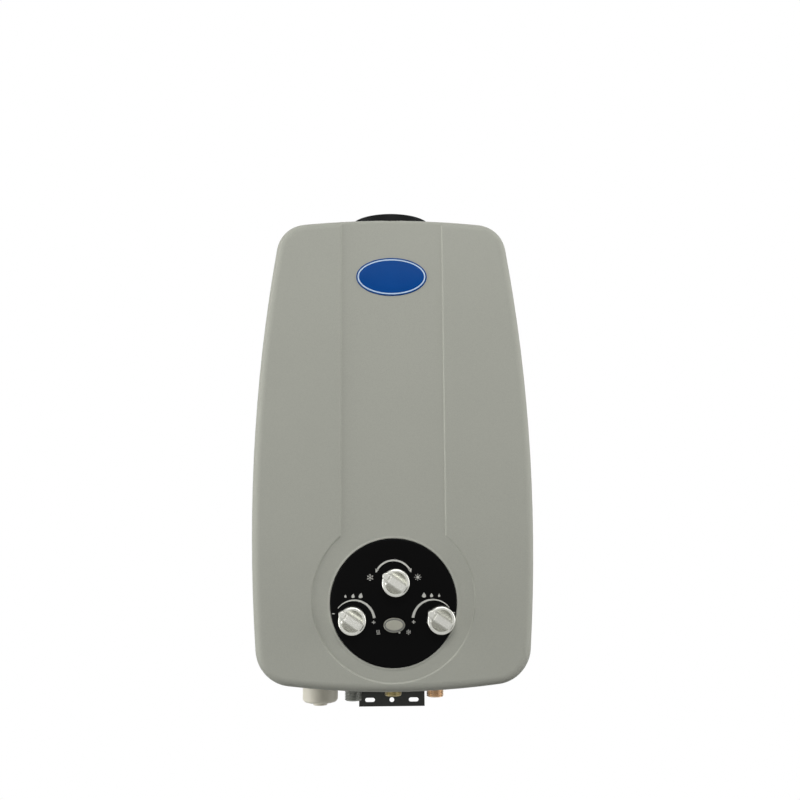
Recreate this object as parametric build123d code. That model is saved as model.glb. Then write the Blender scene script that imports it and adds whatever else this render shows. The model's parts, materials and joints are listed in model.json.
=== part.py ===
from build123d import *
import os
from math import acos, atan2, cos, degrees, radians, sin, sqrt

# Wall-hung instant gas water heater with a flue spigot.
# The wall is the plane y = 0, the front faces -Y and +Z is up.
# The origin lies midway between the two hanging holes, on the wall.

# Casing
COVER_WIDTH = 321.0
COVER_HEIGHT = 545.0
COVER_DEPTH = 156.5
COVER_T = 1.0
COVER_TOP_Z = 55.0
WIDEST_DROP = 343.0
SIDE_R = 1950.0
TOP_R = 1040.0
BOTTOM_R = 960.0
TOP_CORNER_R = 36.0
BOTTOM_CORNER_R = 42.0
EDGE_R = 10.0
WALL_GAP = 1.5
BOTTOM_OPENING_W = 224.0
BOTTOM_OPENING_GAP = 5.5
BOTTOM_OPENING_R = 10.0

# Keyhole recess pressed into the cover
RECESS_DEPTH = 1.2
RECESS_BAND_HALF = 61.0
RECESS_MARGIN = 22.4
RECESS_FOOT = 9.0
STEP_R = 1.6
STEP_LEAD = 0.05

# Control panel in its rolled hole
PANEL_R = 70.6
PANEL_FOOT = 27.0
PANEL_PROUD = 1.2
PANEL_T = 3.0
PANEL_EDGE_R = 0.8
PANEL_SKIRT_T = 2.0
PANEL_GAP = 0.5
LIP_RAMP = 3.2
LIP_RISE = 0.8
LIP_CREST_R = 0.9
LIP_DEPTH = 8.0
HOOK_COUNT = 4
HOOK_W = 10.0
HOOK_T = 2.5
HOOK_REACH = 2.0

# Knobs and spindles, placed from the panel's centre
TOP_KNOB_X = 2.4
TOP_KNOB_RISE = 22.4
GAS_KNOB_X = -46.0
WATER_KNOB_X = 52.5
LOWER_KNOB_DROP = 18.6
KNOB_R = 15.5
KNOB_H = 19.0
KNOB_SKIRT_H = 13.5
KNOB_RIM_R = 1.8
KNOB_BAR_W = 7.2
KNOB_BAR_EDGE_R = 1.0
KNOB_BAR_END_R = 4.0
KNOB_FLOOR_H = 9.0
KNOB_RIM_W = 3.5
KNOB_NUB_R = 3.9
KNOB_NUB_OVER = 1.6
KNOB_NUB_H = 16.8
KNOB_NUB_GAP = 0.9
KNOB_NUB_EDGE_R = 1.0
KNOB_HUB_R = 6.0
KNOB_HOLLOW = 3.5
KNOB_ANGLE = 146.0
KNOB_LIFT = 0.8
SPINDLE_R = 3.0
SPINDLE_IN_KNOB = 12.0
SPINDLE_IN_VALVE = 9.0
SPINDLE_HOLE_GAP = 2.5
SPINDLE_BOSS_R = 12.0
SPINDLE_BOSS_Y = -112.0

# Oval water temperature indicator, placed from the panel's centre
OVAL_X = 0.6
OVAL_DROP = 24.1
OVAL_W = 24.0
OVAL_H = 16.2
OVAL_T = 2.6
OVAL_RIM = 2.2
OVAL_EDGE = 0.7
OVAL_LIFT = 2.4
LENS_T = 1.6
LENS_SEAT = 1.1
LENS_EDGE = 0.6
STEM_R = 2.0
STEM_SEAT = 1.0
INDICATOR_R = 11.0
INDICATOR_T = 15.0
POINTER_T = 1.0
POINTER_LIFT = 0.7
POINTER_HUB_R = 3.4
POINTER_HOLE_GAP = 0.6
POINTER_LENGTH = 10.9
POINTER_ROOT_W = 3.0
POINTER_TIP_W = 1.8
POINTER_ANGLE = 35.0

# Back plate, brackets and connection shelf
PLATE_T = 1.0
PLATE_GAP = 0.6
PLATE_FLANGE = 16.0
HANG_SPACING = 120.0
HANG_HOLE_R = 4.0
BRACKET_W = 83.0
BRACKET_T = 1.5
BRACKET_TOP_RISE = 38.0
BRACKET_DROP = 42.0
BRACKET_SLOT_DROP = 34.0
BRACKET_SLOT_SPACING = 55.3
BRACKET_SLOT_L = 12.4
BRACKET_SLOT_W = 5.2
BRACKET_HOLE_R = 3.0
BRACKET_JOG = 5.0
BRACKET_NOTCH_GAP = 3.0
SHELF_T = 1.5
SHELF_RISE = 8.0
SHELF_MARGIN = 2.0
SHELF_TAB_GAP = 4.5
SHELF_DEPTH = 86.0
SHELF_TAB_W = 30.0
SHELF_TAB_H = 28.0
SHELF_LOBE_MARGIN = 2.25
SCREW_R = 1.9
SCREW_HEAD_R = 4.0
SCREW_HEAD_H = 2.4
BRACKET_SCREW_X = 28.0
FRAME_SCREW_RISE = 24.0
COVER_SCREW_RISE = 70.0
STANDOFF_W = 120.0
STANDOFF_H = 24.0
STANDOFF_T = 1.2

# Flue, hood and heat exchanger, all centred on the flue
SPIGOT_R = 50.0
SPIGOT_T = 0.8
SPIGOT_RISE = 18.6
SPIGOT_BEAD = 2.5
SPIGOT_BEAD_H = 2.0
SPIGOT_SEAT = 17.0
SPIGOT_SWAGE = 0.6
NOTCH_GAP = 6.0
HOOD_T = 0.8
HOOD_LEDGE = 3.0
HOOD_COLLAR_DROP = 11.0
HOOD_COLLAR_H = 18.0
HOOD_SKIRT_H = 25.0
HOOD_RELIEF_W = 56.0
HOOD_RELIEF_H = 13.0
CHAMBER_W = 176.0
CHAMBER_FRONT_SPACE = 40.0
CHAMBER_REAR_SPACE = 26.0
CHAMBER_T = 1.0
CHAMBER_R = 8.0
CHAMBER_TOP_DROP = 150.0
TUBE_R = 6.5
TUBE_BORE_R = 5.7
TUBE_EDGE = 1.0
TUBE_PITCH = 22.0
TUBE_DROP = 27.0
TUBE_STUB = 4.0
FIN_EDGE = 7.0
FIN_PITCH = 8.0
FIN_T = 0.6
FIN_H = 44.0
FIN_HOLE_SIDES = 6
PIPE_R = 6.0
PIPE_BEND_R = 13.0
PIPE_JOG_RISE = 30.0
PIPE_OFF = 1.0
RISER_OUT = 20.0

# Burner and gas manifold
BURNER_EDGE = 13.0
BURNER_RISE = 30.0
BURNER_PITCH = 18.5
BURNER_H = 37.0
BURNER_FRAME_T = 1.2
BURNER_HEAD_W = 9.0
BURNER_HEAD_H = 8.0
BURNER_NECK_W = 4.0
BURNER_THROAT_R = 6.0
BURNER_MOUTH_R = 4.6
BURNER_MOUTH_DEPTH = 14.0
BURNER_MOUTH_OUT = 2.0
BURNER_AXIS_DROP = 26.0
BURNER_SLOTS = 8
BURNER_SLOT_W = 1.8
BURNER_SLOT_DEPTH = 3.0
BURNER_SLOT_PITCH = 10.5
MANIFOLD_D = 14.0
MANIFOLD_OVERHANG = 10.0
MANIFOLD_R = 5.0
INJECTOR_R = 4.2
INJECTOR_HEX_L = 5.0
INJECTOR_TIP_R = 2.4
INJECTOR_TIP_L = 4.0
INJECTOR_GAP = 3.0
FEED_R = 6.5
FEED_BEND_R = 9.0
FEED_STUB = 4.0
FEED_Y = -85.0

# Gas and water valves, on one push-rod axis
VALVE_Y = -70.0
GAS_BODY_R = 22.0
GAS_BODY_LEFT = -64.0
GAS_BODY_RIGHT = 11.0
GAS_PAD_R = 10.0
GAS_PAD_H = 2.0
INLET_BOSS_R = 10.0
INLET_BOSS_H = 2.0
SOLENOID_R = 12.0
SOLENOID_L = 30.0
SOLENOID_CAP_R = 8.0
SOLENOID_CAP_L = 4.0
TOP_VALVE_R = 13.0
TOP_VALVE_L = 60.0
TOP_VALVE_NECK_R = 8.5
TOP_VALVE_NECK_RISE = 18.0
DIAPHRAGM_X = 38.6
DIAPHRAGM_R = 31.0
DIAPHRAGM_T = 1.4
DIAPHRAGM_COVER_L = 10.6
DIAPHRAGM_COVER_T = 3.0
DIAPHRAGM_CAVITY_R = 20.0
DIAPHRAGM_FLANGE_L = 6.0
DIAPHRAGM_SCREWS = 4
DIAPHRAGM_SCREW_EDGE = 5.0
WATER_BODY_R = 24.0
WATER_BODY_L = 28.0
WATER_OUT_X = 62.0
WATER_OUT_R = 9.0
WATER_OUT_RISE = 33.0
ROD_R = 2.5
ROD_PLATE_R = 16.0
ROD_PLATE_T = 2.0
ROD_TRAVEL = 4.0
ROD_COLLAR_R = 13.0
ROD_COLLAR_T = 1.5
ROD_COLLAR_X = 18.5
ROD_IN_GAS = 10.0
SWITCH_X = 23.0
SWITCH_D = 10.0
SWITCH_H = 14.0
SWITCH_RISE = 7.0
PLUNGER_R = 1.25
PLUNGER_RISE = 10.5
PLUNGER_IN = 4.0
RUN_GAP = 0.05
MOVE_GAP = 0.3
UNION_R = 12.5
UNION_H = 11.0

# Pipe connections below the casing
CONNECTION_Y = -55.0
HOT_X = -47.4
GAS_X = 0.8
COLD_X = 51.6
HOT_DROP = 24.5
GAS_DROP = 19.5
COLD_DROP = 21.0
THREAD_R = 10.48
THREAD_BORE_R = 7.5
THREAD_CHAMFER = 1.0
THREAD_UNDERCUT = 0.48
NUT_R = 16.5
NUT_H = 6.0
NUT_GAP = 1.0
FITTING_HEX_R = 15.0
FITTING_HEX_H = 9.0
FITTING_TUBE_R = 8.5
SOCKET_DEPTH = 9.0
SOCKET_TOP = 18.0
SLIP = 0.15

# Ignition and safety
MODULE_X = 119.0
MODULE_Z = -367.0
MODULE_W = 54.0
MODULE_D = 33.0
MODULE_H = 65.0
MODULE_GROOVES = 5
MODULE_GROOVE_W = 3.8
MODULE_GROOVE_DEPTH = 2.0
ELECTRODE_X = -20.0
SENSOR_X = 20.0
ELECTRODE_RISE = 19.0
SENSOR_RISE = 9.0
CERAMIC_R = 3.5
CERAMIC_OUT = 20.0
CERAMIC_IN = 6.0
CERAMIC_COLLAR_R = 5.5
CERAMIC_COLLAR_T = 4.0
WIRE_R = 1.0
WIRE_L = 18.0
ELECTRODE_PLATE_W = 72.0
ELECTRODE_PLATE_H = 27.0
ELECTRODE_PLATE_T = 1.2
ELECTRODE_PLATE_RISE = 1.2
LEAD_R = 1.8
LEAD_BEND_R = 15.0
LEAD_END_BEND_R = 6.0
LEAD_RUN_OUT = 10.0
LEAD_SIDE = 5.0
LEAD_SPREAD = 12.0
LEAD_RISE = 22.0
CUTOUT_R = 8.0
CUTOUT_T = 7.0
CUTOUT_RISE = 40.0
BLADE_T = 0.8
BLADE_W = 6.3
BLADE_L = 7.0

# Battery in its bayonet tube
BATTERY_X = -85.2
BATTERY_Y = -90.0
BATTERY_R = 16.9
BATTERY_L = 60.0
BATTERY_NUB_R = 4.5
BATTERY_NUB_H = 1.5
BATTERY_GAP = 0.4
BATTERY_TUBE_T = 1.2
BATTERY_TUBE_DROP = 11.0
BATTERY_TUBE_TOP_T = 2.0
BATTERY_COLLAR_OUT = 3.0
BATTERY_COLLAR_T = 3.0
BATTERY_LUG_OUT = 0.8
BATTERY_LUG_W = 5.0
BATTERY_LUG_T = 2.5
BATTERY_LUG_RISE = 2.0
CAP_WALL = 0.9
CAP_DROP = 19.5
CAP_H = 20.5
CAP_T = 2.0
CAP_EDGE_R = 4.0
CAP_GAP = 0.3
CAP_BOSS_R = 8.25
CAP_BOSS_H = 3.6
CAP_COIN_W = 2.2
CAP_COIN_DEPTH = 2.0
CONTACT_T = 0.5
CONTACT_W = 8.0
CONTACT_R = 7.0
CAP_LEAF_HALF = 12.0

# General clearances
CUT_PAST = 5.0
SEAT_GAP = 0.2

# Places worked out from the sizes above
FRONT_Y = -(WALL_GAP + COVER_DEPTH)
COVER_BOTTOM_Z = COVER_TOP_Z - COVER_HEIGHT
WIDEST_Z = COVER_TOP_Z - WIDEST_DROP
RECESS_CIRCLE_R = PANEL_R + RECESS_MARGIN
RECESS_Z = COVER_BOTTOM_Z + RECESS_FOOT + RECESS_CIRCLE_R
PANEL_Z = COVER_BOTTOM_Z + PANEL_FOOT + PANEL_R
RECESS_Y = FRONT_Y + RECESS_DEPTH
PANEL_Y = RECESS_Y - PANEL_PROUD
PANEL_BACK_Y = PANEL_Y + PANEL_T
LIP_R = PANEL_R + PANEL_GAP
LIP_END_Y = RECESS_Y + LIP_DEPTH
KNOB_Y = PANEL_Y - KNOB_LIFT
TOP_KNOB_Z = PANEL_Z + TOP_KNOB_RISE
VALVE_Z = PANEL_Z - LOWER_KNOB_DROP
OVAL_Z = PANEL_Z - OVAL_DROP
OVAL_Y = PANEL_Y - OVAL_LIFT
PLATE_INSET = COVER_T + PLATE_GAP
SHELF_Z = COVER_BOTTOM_Z + SHELF_RISE
SHELF_TOP_Z = SHELF_Z + SHELF_T
NECK_R = THREAD_R - THREAD_UNDERCUT
BRACKET_SLOT_Z = COVER_BOTTOM_Z - BRACKET_SLOT_DROP
CHAMBER_TOP_Z = COVER_TOP_Z - CHAMBER_TOP_DROP
GAS_PAD_Z = VALVE_Z + GAS_BODY_R + GAS_PAD_H
INLET_BOSS_Z = VALVE_Z - DIAPHRAGM_R - INLET_BOSS_H
TOP_VALVE_OUT_Z = TOP_KNOB_Z + TOP_VALVE_NECK_RISE
CHAMBER_BOTTOM_Z = TOP_VALVE_OUT_Z + BURNER_RISE + BURNER_H
CHAMBER_H = CHAMBER_TOP_Z - CHAMBER_BOTTOM_Z
CHAMBER_FRONT_Y = FRONT_Y + CHAMBER_FRONT_SPACE
CHAMBER_REAR_Y = -CHAMBER_REAR_SPACE
CHAMBER_D = CHAMBER_REAR_Y - CHAMBER_FRONT_Y
FLUE_Y = (CHAMBER_FRONT_Y + CHAMBER_REAR_Y) / 2
TUBE_COUNT = 2 * int((CHAMBER_D - 2 * TUBE_EDGE) / (2 * TUBE_PITCH))
FIN_COUNT = int((CHAMBER_W - 2 * FIN_EDGE) / FIN_PITCH) + 1
BURNER_COUNT = int((CHAMBER_W - 2 * BURNER_EDGE) / BURNER_PITCH) + 1
TUBE_Z = CHAMBER_TOP_Z - TUBE_DROP
TUBE_END_X = CHAMBER_W / 2 + TUBE_STUB
BURNER_AXIS_Z = CHAMBER_BOTTOM_Z - BURNER_AXIS_DROP
MOUTH_Y = CHAMBER_FRONT_Y - BURNER_MOUTH_OUT
MANIFOLD_Y = MOUTH_Y - INJECTOR_GAP - INJECTOR_TIP_L - INJECTOR_HEX_L - MANIFOLD_D / 2
MANIFOLD_L = (BURNER_COUNT - 1) * BURNER_PITCH + 2 * MANIFOLD_OVERHANG
DIAPHRAGM_COVER_X = DIAPHRAGM_X - DIAPHRAGM_COVER_L
DIAPHRAGM_BODY_X = DIAPHRAGM_X + DIAPHRAGM_T
BATTERY_TUBE_BORE_R = BATTERY_R + BATTERY_GAP
BATTERY_TUBE_R = BATTERY_TUBE_BORE_R + BATTERY_TUBE_T
BATTERY_COLLAR_R = BATTERY_TUBE_R + BATTERY_COLLAR_OUT
BATTERY_TUBE_Z = COVER_BOTTOM_Z - BATTERY_TUBE_DROP
LUG_R = BATTERY_TUBE_R + BATTERY_LUG_OUT
CAP_R = LUG_R + CAP_GAP + CAP_WALL
CAP_BOTTOM_Z = COVER_BOTTOM_Z - CAP_DROP


# Shared shapes


def block(x0, x1, y0, y1, z0, z1):
    """Box between two corners."""
    middle = Pos((x0 + x1) / 2, (y0 + y1) / 2, (z0 + z1) / 2)
    return middle * Box(abs(x1 - x0), abs(y1 - y0), abs(z1 - z0))


def rod_x(y, z, x0, x1, r):
    return Pos((x0 + x1) / 2, y, z) * Rot(0, 90, 0) * Cylinder(r, abs(x1 - x0))


def rod_y(x, z, y0, y1, r):
    return Pos(x, (y0 + y1) / 2, z) * Rot(90, 0, 0) * Cylinder(r, abs(y1 - y0))


def rod_z(x, y, z0, z1, r):
    return Pos(x, y, (z0 + z1) / 2) * Cylinder(r, abs(z1 - z0))


def hex_z(x, y, z0, z1, r):
    """Hexagonal bar whose corners lie on radius r."""
    return extrude(Plane((x, y, z0)) * RegularPolygon(r, 6), z1 - z0)


def bent_bar(points, bends, r):
    """Round bar along straight runs joined by arcs."""
    path = FilletPolyline(*points, radius=bends)
    return sweep(Plane(path @ 0, z_dir=path % 0) * Circle(r), path=path)


def screw_to_wall(x, z, head_y, tip_y):
    """Pan-head screw seen from the front, its tip towards the wall."""
    head = rod_y(x, z, head_y - SCREW_HEAD_H, head_y, SCREW_HEAD_R)
    head = chamfer(head.edges().group_by(Axis.Y)[0], SCREW_HEAD_H / 2)
    return head + rod_y(x, z, head_y, tip_y, SCREW_R)


# Casing


def outline(inset):
    """Barrel outline of the casing, drawn in by inset: four shallow arcs with rounded corners."""
    centre_x = SIDE_R - COVER_WIDTH / 2
    shape = Pos(-centre_x, WIDEST_Z) * Circle(SIDE_R - inset)
    shape &= Pos(centre_x, WIDEST_Z) * Circle(SIDE_R - inset)
    shape &= Pos(0, COVER_TOP_Z - TOP_R) * Circle(TOP_R - inset)
    shape &= Pos(0, COVER_BOTTOM_Z + BOTTOM_R) * Circle(BOTTOM_R - inset)
    shape = fillet(shape.vertices().group_by(Axis.Y)[0], BOTTOM_CORNER_R - inset)
    return fillet(shape.vertices().group_by(Axis.Y)[-1], TOP_CORNER_R - inset)


def prism(inset, rear_y, front_y):
    """The outline carried from rear_y forward to front_y."""
    return extrude(Plane.XZ.offset(-rear_y) * outline(inset), rear_y - front_y)


def step_half(wing_x, inset):
    """Half section of the recess, with an S-shaped wall of two arcs up to the wing."""
    turn = acos(1 - (RECESS_DEPTH + STEP_LEAD) / (2 * STEP_R))
    high_r = STEP_R - inset
    low_r = STEP_R + inset
    high = Vector(wing_x, FRONT_Y - STEP_LEAD + STEP_R)
    low = high - Vector(sin(turn), cos(turn)) * (2 * STEP_R)
    floor_y = low.Y + low_r
    past_y = FRONT_Y - CUT_PAST
    edges = [
        Line((0, floor_y), (low.X, floor_y)),
        CenterArc(low, low_r, 90 - degrees(turn), degrees(turn)),
        CenterArc(high, high_r, -90 - degrees(turn), degrees(turn)),
        Line((wing_x, high.Y - high_r), (wing_x, past_y)),
        Line((wing_x, past_y), (0, past_y)),
        Line((0, past_y), (0, floor_y)),
    ]
    return make_face(edges)


def keyhole(inset):
    """What the pressing takes away: a band up to the top edge and a circle round the panel."""
    half = Plane.XY.offset(RECESS_Z) * step_half(RECESS_BAND_HALF, inset)
    side = extrude(half, COVER_TOP_Z + CUT_PAST - RECESS_Z)
    circle = Plane.XY.offset(RECESS_Z) * step_half(RECESS_CIRCLE_R, inset)
    round_part = revolve(circle, Axis((0, 0, RECESS_Z), (0, 1, 0)))
    return side + mirror(side, Plane.YZ) + round_part


def cover_form(inset, rear_y):
    """Solid form of the cover, drawn in by inset."""
    blank = prism(inset, rear_y, FRONT_Y + inset)
    front = blank.faces().sort_by(Axis.Y)[0]
    blank = fillet(front.edges(), EDGE_R - inset)
    return blank - keyhole(inset)


def panel_lip():
    """Edge of the panel hole: a low ramp, a rounded crest and a collar turned into the casing."""
    foot_x = LIP_R + LIP_RAMP
    collar_x = LIP_R + COVER_T
    crest_y = RECESS_Y - LIP_RISE
    under_y = crest_y + COVER_T * (1 + LIP_RISE / LIP_RAMP)
    section = Polygon(
        (foot_x, RECESS_Y + COVER_T),
        (collar_x, under_y),
        (collar_x, LIP_END_Y),
        (LIP_R, LIP_END_Y),
        (LIP_R, crest_y),
        (foot_x, RECESS_Y),
        align=None,
    )
    section = fillet(section.vertices().sort_by(Axis.Y)[0], LIP_CREST_R)
    return revolve(Plane.XY.offset(PANEL_Z) * section, Axis((0, 0, PANEL_Z), (0, 1, 0)))


def side_x(z):
    """Half width of the casing at height z."""
    return COVER_WIDTH / 2 - SIDE_R + sqrt(SIDE_R**2 - (z - WIDEST_Z) ** 2)


def cover_screw_place(side):
    """Place of a cover screw on the right (1) or left (-1) wall, its axis square to the wall."""
    z = COVER_BOTTOM_Z + COVER_SCREW_RISE
    lean = degrees(atan2(z - WIDEST_Z, SIDE_R))
    spot = Pos(side * side_x(z), -WALL_GAP - PLATE_FLANGE / 2, z)
    return spot * Rot(0, side * (90 - lean), 0)


def make_front_cover():
    rear_y = -WALL_GAP
    shell = cover_form(0, rear_y) - cover_form(COVER_T, rear_y + CUT_PAST)
    shell -= rod_y(0, PANEL_Z, FRONT_Y - CUT_PAST, LIP_END_Y, LIP_R + LIP_RAMP)
    shell += panel_lip()
    notch_r = SPIGOT_R + NOTCH_GAP
    notch_low = COVER_TOP_Z - TOP_CORNER_R
    shell -= rod_z(0, FLUE_Y, notch_low, COVER_TOP_Z + CUT_PAST, notch_r)
    shell -= block(-notch_r, notch_r, FLUE_Y, CUT_PAST, notch_low, COVER_TOP_Z + CUT_PAST)
    opening_front_y = BATTERY_Y - CAP_R - BOTTOM_OPENING_GAP
    opening = Rectangle(BOTTOM_OPENING_W, 2 * (rear_y - opening_front_y))
    opening = fillet(opening.vertices(), BOTTOM_OPENING_R)
    opening_z = COVER_BOTTOM_Z - CUT_PAST
    shell -= extrude(Plane((0, rear_y, opening_z)) * opening, BOTTOM_CORNER_R / 2)
    for side in (-1, 1):
        shell -= cover_screw_place(side) * Cylinder(SCREW_R + SLIP, 4 * COVER_T)
    return shell


def make_control_panel():
    """Gloss disc with a rounded edge, a skirt inside the rolled hole and snap hooks behind it."""
    disc = rod_y(0, PANEL_Z, PANEL_Y, PANEL_BACK_Y, PANEL_R)
    disc = fillet(disc.edges().group_by(Axis.Y)[0], PANEL_EDGE_R)
    skirt_r = PANEL_R - PANEL_SKIRT_T
    skirt = rod_y(0, PANEL_Z, PANEL_BACK_Y, LIP_END_Y, PANEL_R)
    skirt -= rod_y(0, PANEL_Z, PANEL_BACK_Y, LIP_END_Y, skirt_r)
    panel = disc + skirt
    catch_y = LIP_END_Y + SEAT_GAP
    for i in range(HOOK_COUNT):
        turn = Pos(0, 0, PANEL_Z) * Rot(0, (i + 0.5) * 360 / HOOK_COUNT, 0)
        half = HOOK_W / 2
        arm = block(skirt_r, PANEL_R - SLIP, LIP_END_Y - HOOK_T, catch_y + HOOK_T, -half, half)
        barb = block(skirt_r, PANEL_R + HOOK_REACH, catch_y, catch_y + HOOK_T, -half, half)
        panel += turn * (arm + barb)
    hole_r = SPINDLE_R + SPINDLE_HOLE_GAP
    for x, z in KNOB_PLACES.values():
        panel -= rod_y(x, z, PANEL_Y - CUT_PAST, PANEL_BACK_Y + CUT_PAST, hole_r)
    sleeve_r = POINTER_HUB_R + POINTER_HOLE_GAP
    return panel - rod_y(OVAL_X, OVAL_Z, PANEL_Y - CUT_PAST, PANEL_BACK_Y + CUT_PAST, sleeve_r)


KNOB_PLACES = {
    "season": (TOP_KNOB_X, TOP_KNOB_Z),
    "gas": (GAS_KNOB_X, VALVE_Z),
    "water": (WATER_KNOB_X, VALVE_Z),
}


def knob_form():
    """Bar knob standing on the XY plane: rimmed skirt, two scooped hollows, grip bar and pointer nub."""
    body = Pos(0, 0, KNOB_SKIRT_H / 2) * Cylinder(KNOB_R, KNOB_SKIRT_H)
    body = fillet(body.edges().group_by(Axis.Z)[-1], KNOB_RIM_R)
    half_bar = KNOB_BAR_W / 2
    reach = KNOB_R - KNOB_RIM_W - half_bar
    rise = KNOB_SKIRT_H - KNOB_FLOOR_H
    scoop_r = (reach**2 + rise**2) / (2 * rise)
    scoop = Pos(0, half_bar, KNOB_FLOOR_H + scoop_r) * Rot(0, 90, 0) * Cylinder(scoop_r, 2 * KNOB_R)
    scoop &= block(-KNOB_R, KNOB_R, half_bar, 2 * KNOB_R, 0, KNOB_FLOOR_H + scoop_r)
    inside = Cylinder(KNOB_R - KNOB_RIM_W, 4 * KNOB_H)
    scoop &= inside
    body -= scoop + mirror(scoop, Plane.XZ)
    nub_x = KNOB_R + KNOB_NUB_OVER - KNOB_NUB_R
    nub = Pos(nub_x, 0, KNOB_NUB_H / 2) * Cylinder(KNOB_NUB_R, KNOB_NUB_H)
    nub = fillet(nub.edges().group_by(Axis.Z)[-1], KNOB_NUB_EDGE_R)
    bar_end = nub_x - KNOB_NUB_R - KNOB_NUB_GAP
    bar = block(-KNOB_R, bar_end, -half_bar, half_bar, KNOB_FLOOR_H, KNOB_H)
    bar &= Cylinder(KNOB_R - KNOB_RIM_R, 4 * KNOB_H)
    bar = fillet(bar.edges().group_by(Axis.Z)[-1].sort_by(Axis.X)[0], KNOB_BAR_END_R)
    bar = fillet(bar.edges().group_by(Axis.Z)[-1].sort_by(Axis.X)[-1], KNOB_BAR_EDGE_R)
    body += bar + nub
    hollow = Pos(0, 0, KNOB_HOLLOW / 2) * Cylinder(KNOB_R - KNOB_RIM_W, KNOB_HOLLOW)
    hollow -= Cylinder(KNOB_HUB_R, 4 * KNOB_H)
    body -= hollow
    return body - Pos(0, 0, SPINDLE_IN_KNOB / 2) * Cylinder(SPINDLE_R + RUN_GAP, SPINDLE_IN_KNOB)


def make_knob(name):
    x, z = KNOB_PLACES[name]
    return Pos(x, KNOB_Y, z) * Rot(90, 0, 0) * Rot(0, 0, KNOB_ANGLE) * knob_form()


def make_spindle(name):
    """Spindle from its valve boss to the knob."""
    x, z = KNOB_PLACES[name]
    tip_y = KNOB_Y - SPINDLE_IN_KNOB + SEAT_GAP
    return rod_y(x, z, tip_y, SPINDLE_BOSS_Y + SPINDLE_IN_VALVE, SPINDLE_R)


def oval(inset, front_y, thick):
    """Oval plate behind front_y, drawn in by inset."""
    face = Plane((OVAL_X, front_y, OVAL_Z), x_dir=(1, 0, 0), z_dir=(0, 1, 0))
    return extrude(face * Ellipse(OVAL_W / 2 - inset, OVAL_H / 2 - inset), thick)


def make_indicator_bezel():
    front_y = OVAL_Y - OVAL_T
    bezel = oval(0, front_y, OVAL_T)
    bezel = chamfer(bezel.edges().group_by(Axis.Y)[0], OVAL_EDGE)
    bezel -= oval(OVAL_RIM, front_y, LENS_SEAT)
    return bezel - rod_y(OVAL_X, OVAL_Z, OVAL_Y - STEM_SEAT - SEAT_GAP, OVAL_Y, STEM_R + RUN_GAP)


def make_indicator_lens():
    seat_y = OVAL_Y - OVAL_T + LENS_SEAT
    lens = oval(OVAL_RIM + SLIP, seat_y - LENS_T, LENS_T)
    return chamfer(lens.edges().group_by(Axis.Y)[0], LENS_EDGE)


def make_indicator_body():
    """Bimetal housing behind the panel, with the stem that carries the bezel and the pointer."""
    body = rod_y(OVAL_X, OVAL_Z, PANEL_BACK_Y, PANEL_BACK_Y + INDICATOR_T, INDICATOR_R)
    body -= rod_y(OVAL_X, OVAL_Z, PANEL_BACK_Y, PANEL_BACK_Y + PANEL_T, POINTER_HUB_R + POINTER_HOLE_GAP)
    return body + rod_y(OVAL_X, OVAL_Z, OVAL_Y - STEM_SEAT, PANEL_BACK_Y + PANEL_T, STEM_R)


def make_temperature_pointer():
    """Thin hand behind the bezel, its sleeve running on the stem, at the cold end of its sweep."""
    face_y = PANEL_Y - POINTER_LIFT - POINTER_T
    hand = Polygon(
        (-POINTER_ROOT_W / 2, 0),
        (POINTER_ROOT_W / 2, 0),
        (POINTER_TIP_W / 2, POINTER_LENGTH),
        (-POINTER_TIP_W / 2, POINTER_LENGTH),
        align=None,
    )
    place = Plane((OVAL_X, face_y, OVAL_Z), x_dir=(1, 0, 0), z_dir=(0, 1, 0))
    arm = extrude(place * Rot(0, 0, -POINTER_ANGLE) * hand, POINTER_T)
    sleeve = rod_y(OVAL_X, OVAL_Z, face_y, PANEL_BACK_Y + PANEL_T / 2, POINTER_HUB_R)
    bore = rod_y(OVAL_X, OVAL_Z, face_y - CUT_PAST, PANEL_BACK_Y + CUT_PAST, STEM_R + RUN_GAP)
    return arm + sleeve - bore


# Back plate, brackets and shelf


def make_back_plate():
    """Tray against the wall, its flange just inside the cover's walls."""
    plate = prism(PLATE_INSET, 0, -PLATE_FLANGE)
    plate -= prism(PLATE_INSET + PLATE_T, -PLATE_T, -PLATE_FLANGE - CUT_PAST)
    for x in (-HANG_SPACING / 2, HANG_SPACING / 2):
        plate -= rod_y(x, 0, -CUT_PAST, CUT_PAST, HANG_HOLE_R)
    half = BRACKET_W / 2 + BRACKET_NOTCH_GAP
    low_z = COVER_BOTTOM_Z - CUT_PAST
    plate -= block(-half, half, -PLATE_T, -PLATE_FLANGE - CUT_PAST, low_z, SHELF_Z)
    for x, z in FRAME_SCREW_PLACES:
        plate -= rod_y(x, z, -CUT_PAST, CUT_PAST, SCREW_R + SLIP)
    for side in (-1, 1):
        plate -= cover_screw_place(side) * Cylinder(SCREW_R + SLIP, 8 * COVER_T)
    return plate


FRAME_SCREW_Z = COVER_BOTTOM_Z + FRAME_SCREW_RISE
TAB_X = BRACKET_W / 2 + SHELF_TAB_GAP + SHELF_TAB_W / 2
FRAME_SCREW_PLACES = [(x, FRAME_SCREW_Z) for x in (-TAB_X, -BRACKET_SCREW_X, BRACKET_SCREW_X, TAB_X)]


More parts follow.
